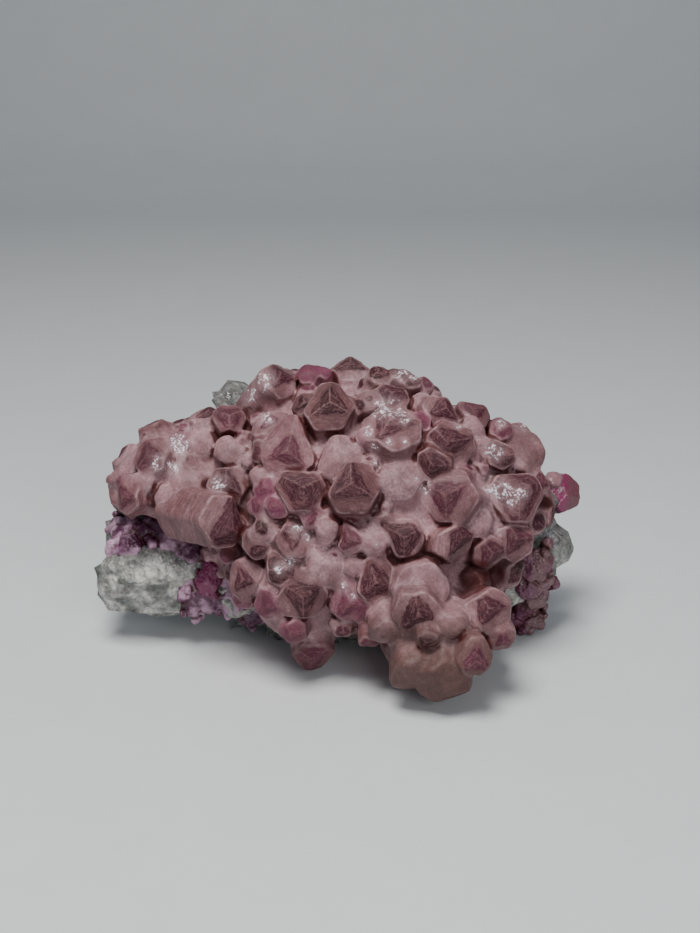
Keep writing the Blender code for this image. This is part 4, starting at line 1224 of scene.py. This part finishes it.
class CalciteSizes(bpy.types.PropertyGroup):
    """How finely the pieces are drawn."""

    cluster_step: FloatProperty(
        name="Crystal grid", description="Spacing of the crystals' mesh, in millimetres",
        default=0.46, min=0.3, max=2.0)
    druse_step: FloatProperty(
        name="Druse grid", description="Spacing of the purple crusts' mesh, in millimetres",
        default=0.27, min=0.2, max=2.0)
    rock_divisions: IntProperty(
        name="Rock divisions", description="How often the rock's ball is divided",
        default=6, min=3, max=7)


def dress(piece, node, material):
    """Give a piece its finish, hang it on the root body and hide the solid it stands for."""
    piece.data.materials.clear()
    piece.data.materials.append(material)
    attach(piece, "root")
    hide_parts(node)


class CALCITE_OT_rock(bpy.types.Operator):
    """Build the matrix rock."""

    bl_idname = "calcite.rock"
    bl_label = "Matrix rock"

    def execute(self, context):
        scene = context.scene
        piece = build_rock(scene.calcite_sizes.rock_divisions)
        dress(piece, "matrix_rock", crusted_rock(scene.calcite_colours))
        return {"FINISHED"}


class CALCITE_OT_crystals(bpy.types.Operator):
    """Build the pink crystals and the crust that joins them."""

    bl_idname = "calcite.crystals"
    bl_label = "Pink crystals"

    def execute(self, context):
        scene = context.scene
        piece = build_cluster(scene.calcite_sizes.cluster_step)
        dress(piece, "crystal_cluster", pink_calcite(scene.calcite_colours))
        return {"FINISHED"}


class CALCITE_OT_druses(bpy.types.Operator):
    """Build the purple crusts at both ends."""

    bl_idname = "calcite.druses"
    bl_label = "Purple crusts"

    def execute(self, context):
        scene = context.scene
        finish = purple_druse(scene.calcite_colours)
        step = scene.calcite_sizes.druse_step
        for name, node, table, seed in DRUSES:
            piece = build_druse(name, with_crumbs(table, seed), step, DRUSE_MERGE)
            dress(piece, node, finish)
        return {"FINISHED"}


class CALCITE_OT_magenta(bpy.types.Operator):
    """Build the vivid crystal at the right end."""

    bl_idname = "calcite.magenta"
    bl_label = "Magenta crystal"

    def execute(self, context):
        scene = context.scene
        crystals = grow_table(MAGENTA_CRYSTAL, ROCK_LOBES, DRUSE_RISE)
        step = scene.calcite_sizes.druse_step
        piece = build_druse("vivid_crystal", crystals, step, VIVID_MERGE)
        finish = magenta_calcite(scene.calcite_colours)
        dress(piece, "magenta_crystal", finish)
        return {"FINISHED"}


def add_lamp(name, place, size, power, colour):
    """A soft lamp that faces the specimen."""
    light = bpy.data.lights.new(name, "AREA")
    light.shape = "RECTANGLE"
    light.size, light.size_y = size
    light.energy = power
    light.color = colour
    lamp = show(name, light)
    lamp.location = place
    lamp.rotation_euler = (LAMP_TARGET - Vector(place)).to_track_quat("-Z", "Y").to_euler()


def add_floor():
    """A board that curves up behind the specimen."""
    points = [(x, y, z) for x in (-BOARD_REACH, BOARD_REACH) for y, z in BOARD_PROFILE]
    count = len(BOARD_PROFILE)
    faces = [(k, count + k, count + k + 1, k + 1) for k in range(count - 1)]
    mesh = bpy.data.meshes.new("board")
    mesh.from_pydata(points, [], faces)
    mesh.shade_smooth()
    floor = show("board", mesh)
    floor.data.materials.append(plain_floor())


def add_camera():
    """The display view."""
    data = bpy.data.cameras.new("display")
    data.lens = LENS
    data.sensor_width = data.sensor_height = FILM
    data.sensor_fit = "VERTICAL"
    camera = show("display", data)
    camera.location = EYE * MM
    camera.rotation_euler = (math.pi / 2 - NOD, 0, 0)
    bpy.context.scene.camera = camera


class CALCITE_OT_stage(bpy.types.Operator):
    """Set the floor, the lamps and the camera."""

    bl_idname = "calcite.stage"
    bl_label = "Stage"

    def execute(self, context):
        add_floor()
        add_camera()
        for lamp in LAMPS:
            add_lamp(*lamp)
        world = bpy.data.worlds.new("soft room")
        world.use_nodes = True
        background = world.node_tree.nodes["Background"]
        background.inputs["Color"].default_value = ROOM_COLOUR
        background.inputs["Strength"].default_value = ROOM_STRENGTH
        context.scene.world = world
        return {"FINISHED"}


STEPS = (CALCITE_OT_rock, CALCITE_OT_crystals, CALCITE_OT_druses, CALCITE_OT_magenta,
         CALCITE_OT_stage)


class CALCITE_PT_panel(bpy.types.Panel):
    """The specimen's build steps and settings."""

    bl_idname = "CALCITE_PT_panel"
    bl_label = "Cobaltoan calcite"
    bl_space_type = "VIEW_3D"
    bl_region_type = "UI"
    bl_category = "Calcite"

    def draw(self, context):
        column = self.layout.column()
        for group in (context.scene.calcite_sizes, context.scene.calcite_colours):
            for key in group.bl_rna.properties.keys():
                if key not in ("rna_type", "name"):
                    column.prop(group, key)
        for step in STEPS:
            column.operator(step.bl_idname)


CLASSES = (CalciteColours, CalciteSizes, *STEPS, CALCITE_PT_panel)


def register():
    """Make the settings, operators and panel known."""
    for item in CLASSES:
        bpy.utils.register_class(item)
    bpy.types.Scene.calcite_colours = PointerProperty(type=CalciteColours)
    bpy.types.Scene.calcite_sizes = PointerProperty(type=CalciteSizes)


def unregister():
    """Take them away again."""
    del bpy.types.Scene.calcite_sizes
    del bpy.types.Scene.calcite_colours
    for item in reversed(CLASSES):
        bpy.utils.unregister_class(item)


def main():
    """Build everything in order."""
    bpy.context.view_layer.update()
    register()
    bpy.ops.calcite.rock()
    bpy.ops.calcite.crystals()
    bpy.ops.calcite.druses()
    bpy.ops.calcite.magenta()
    bpy.ops.calcite.stage()


if __name__ == "__main__":
    main()
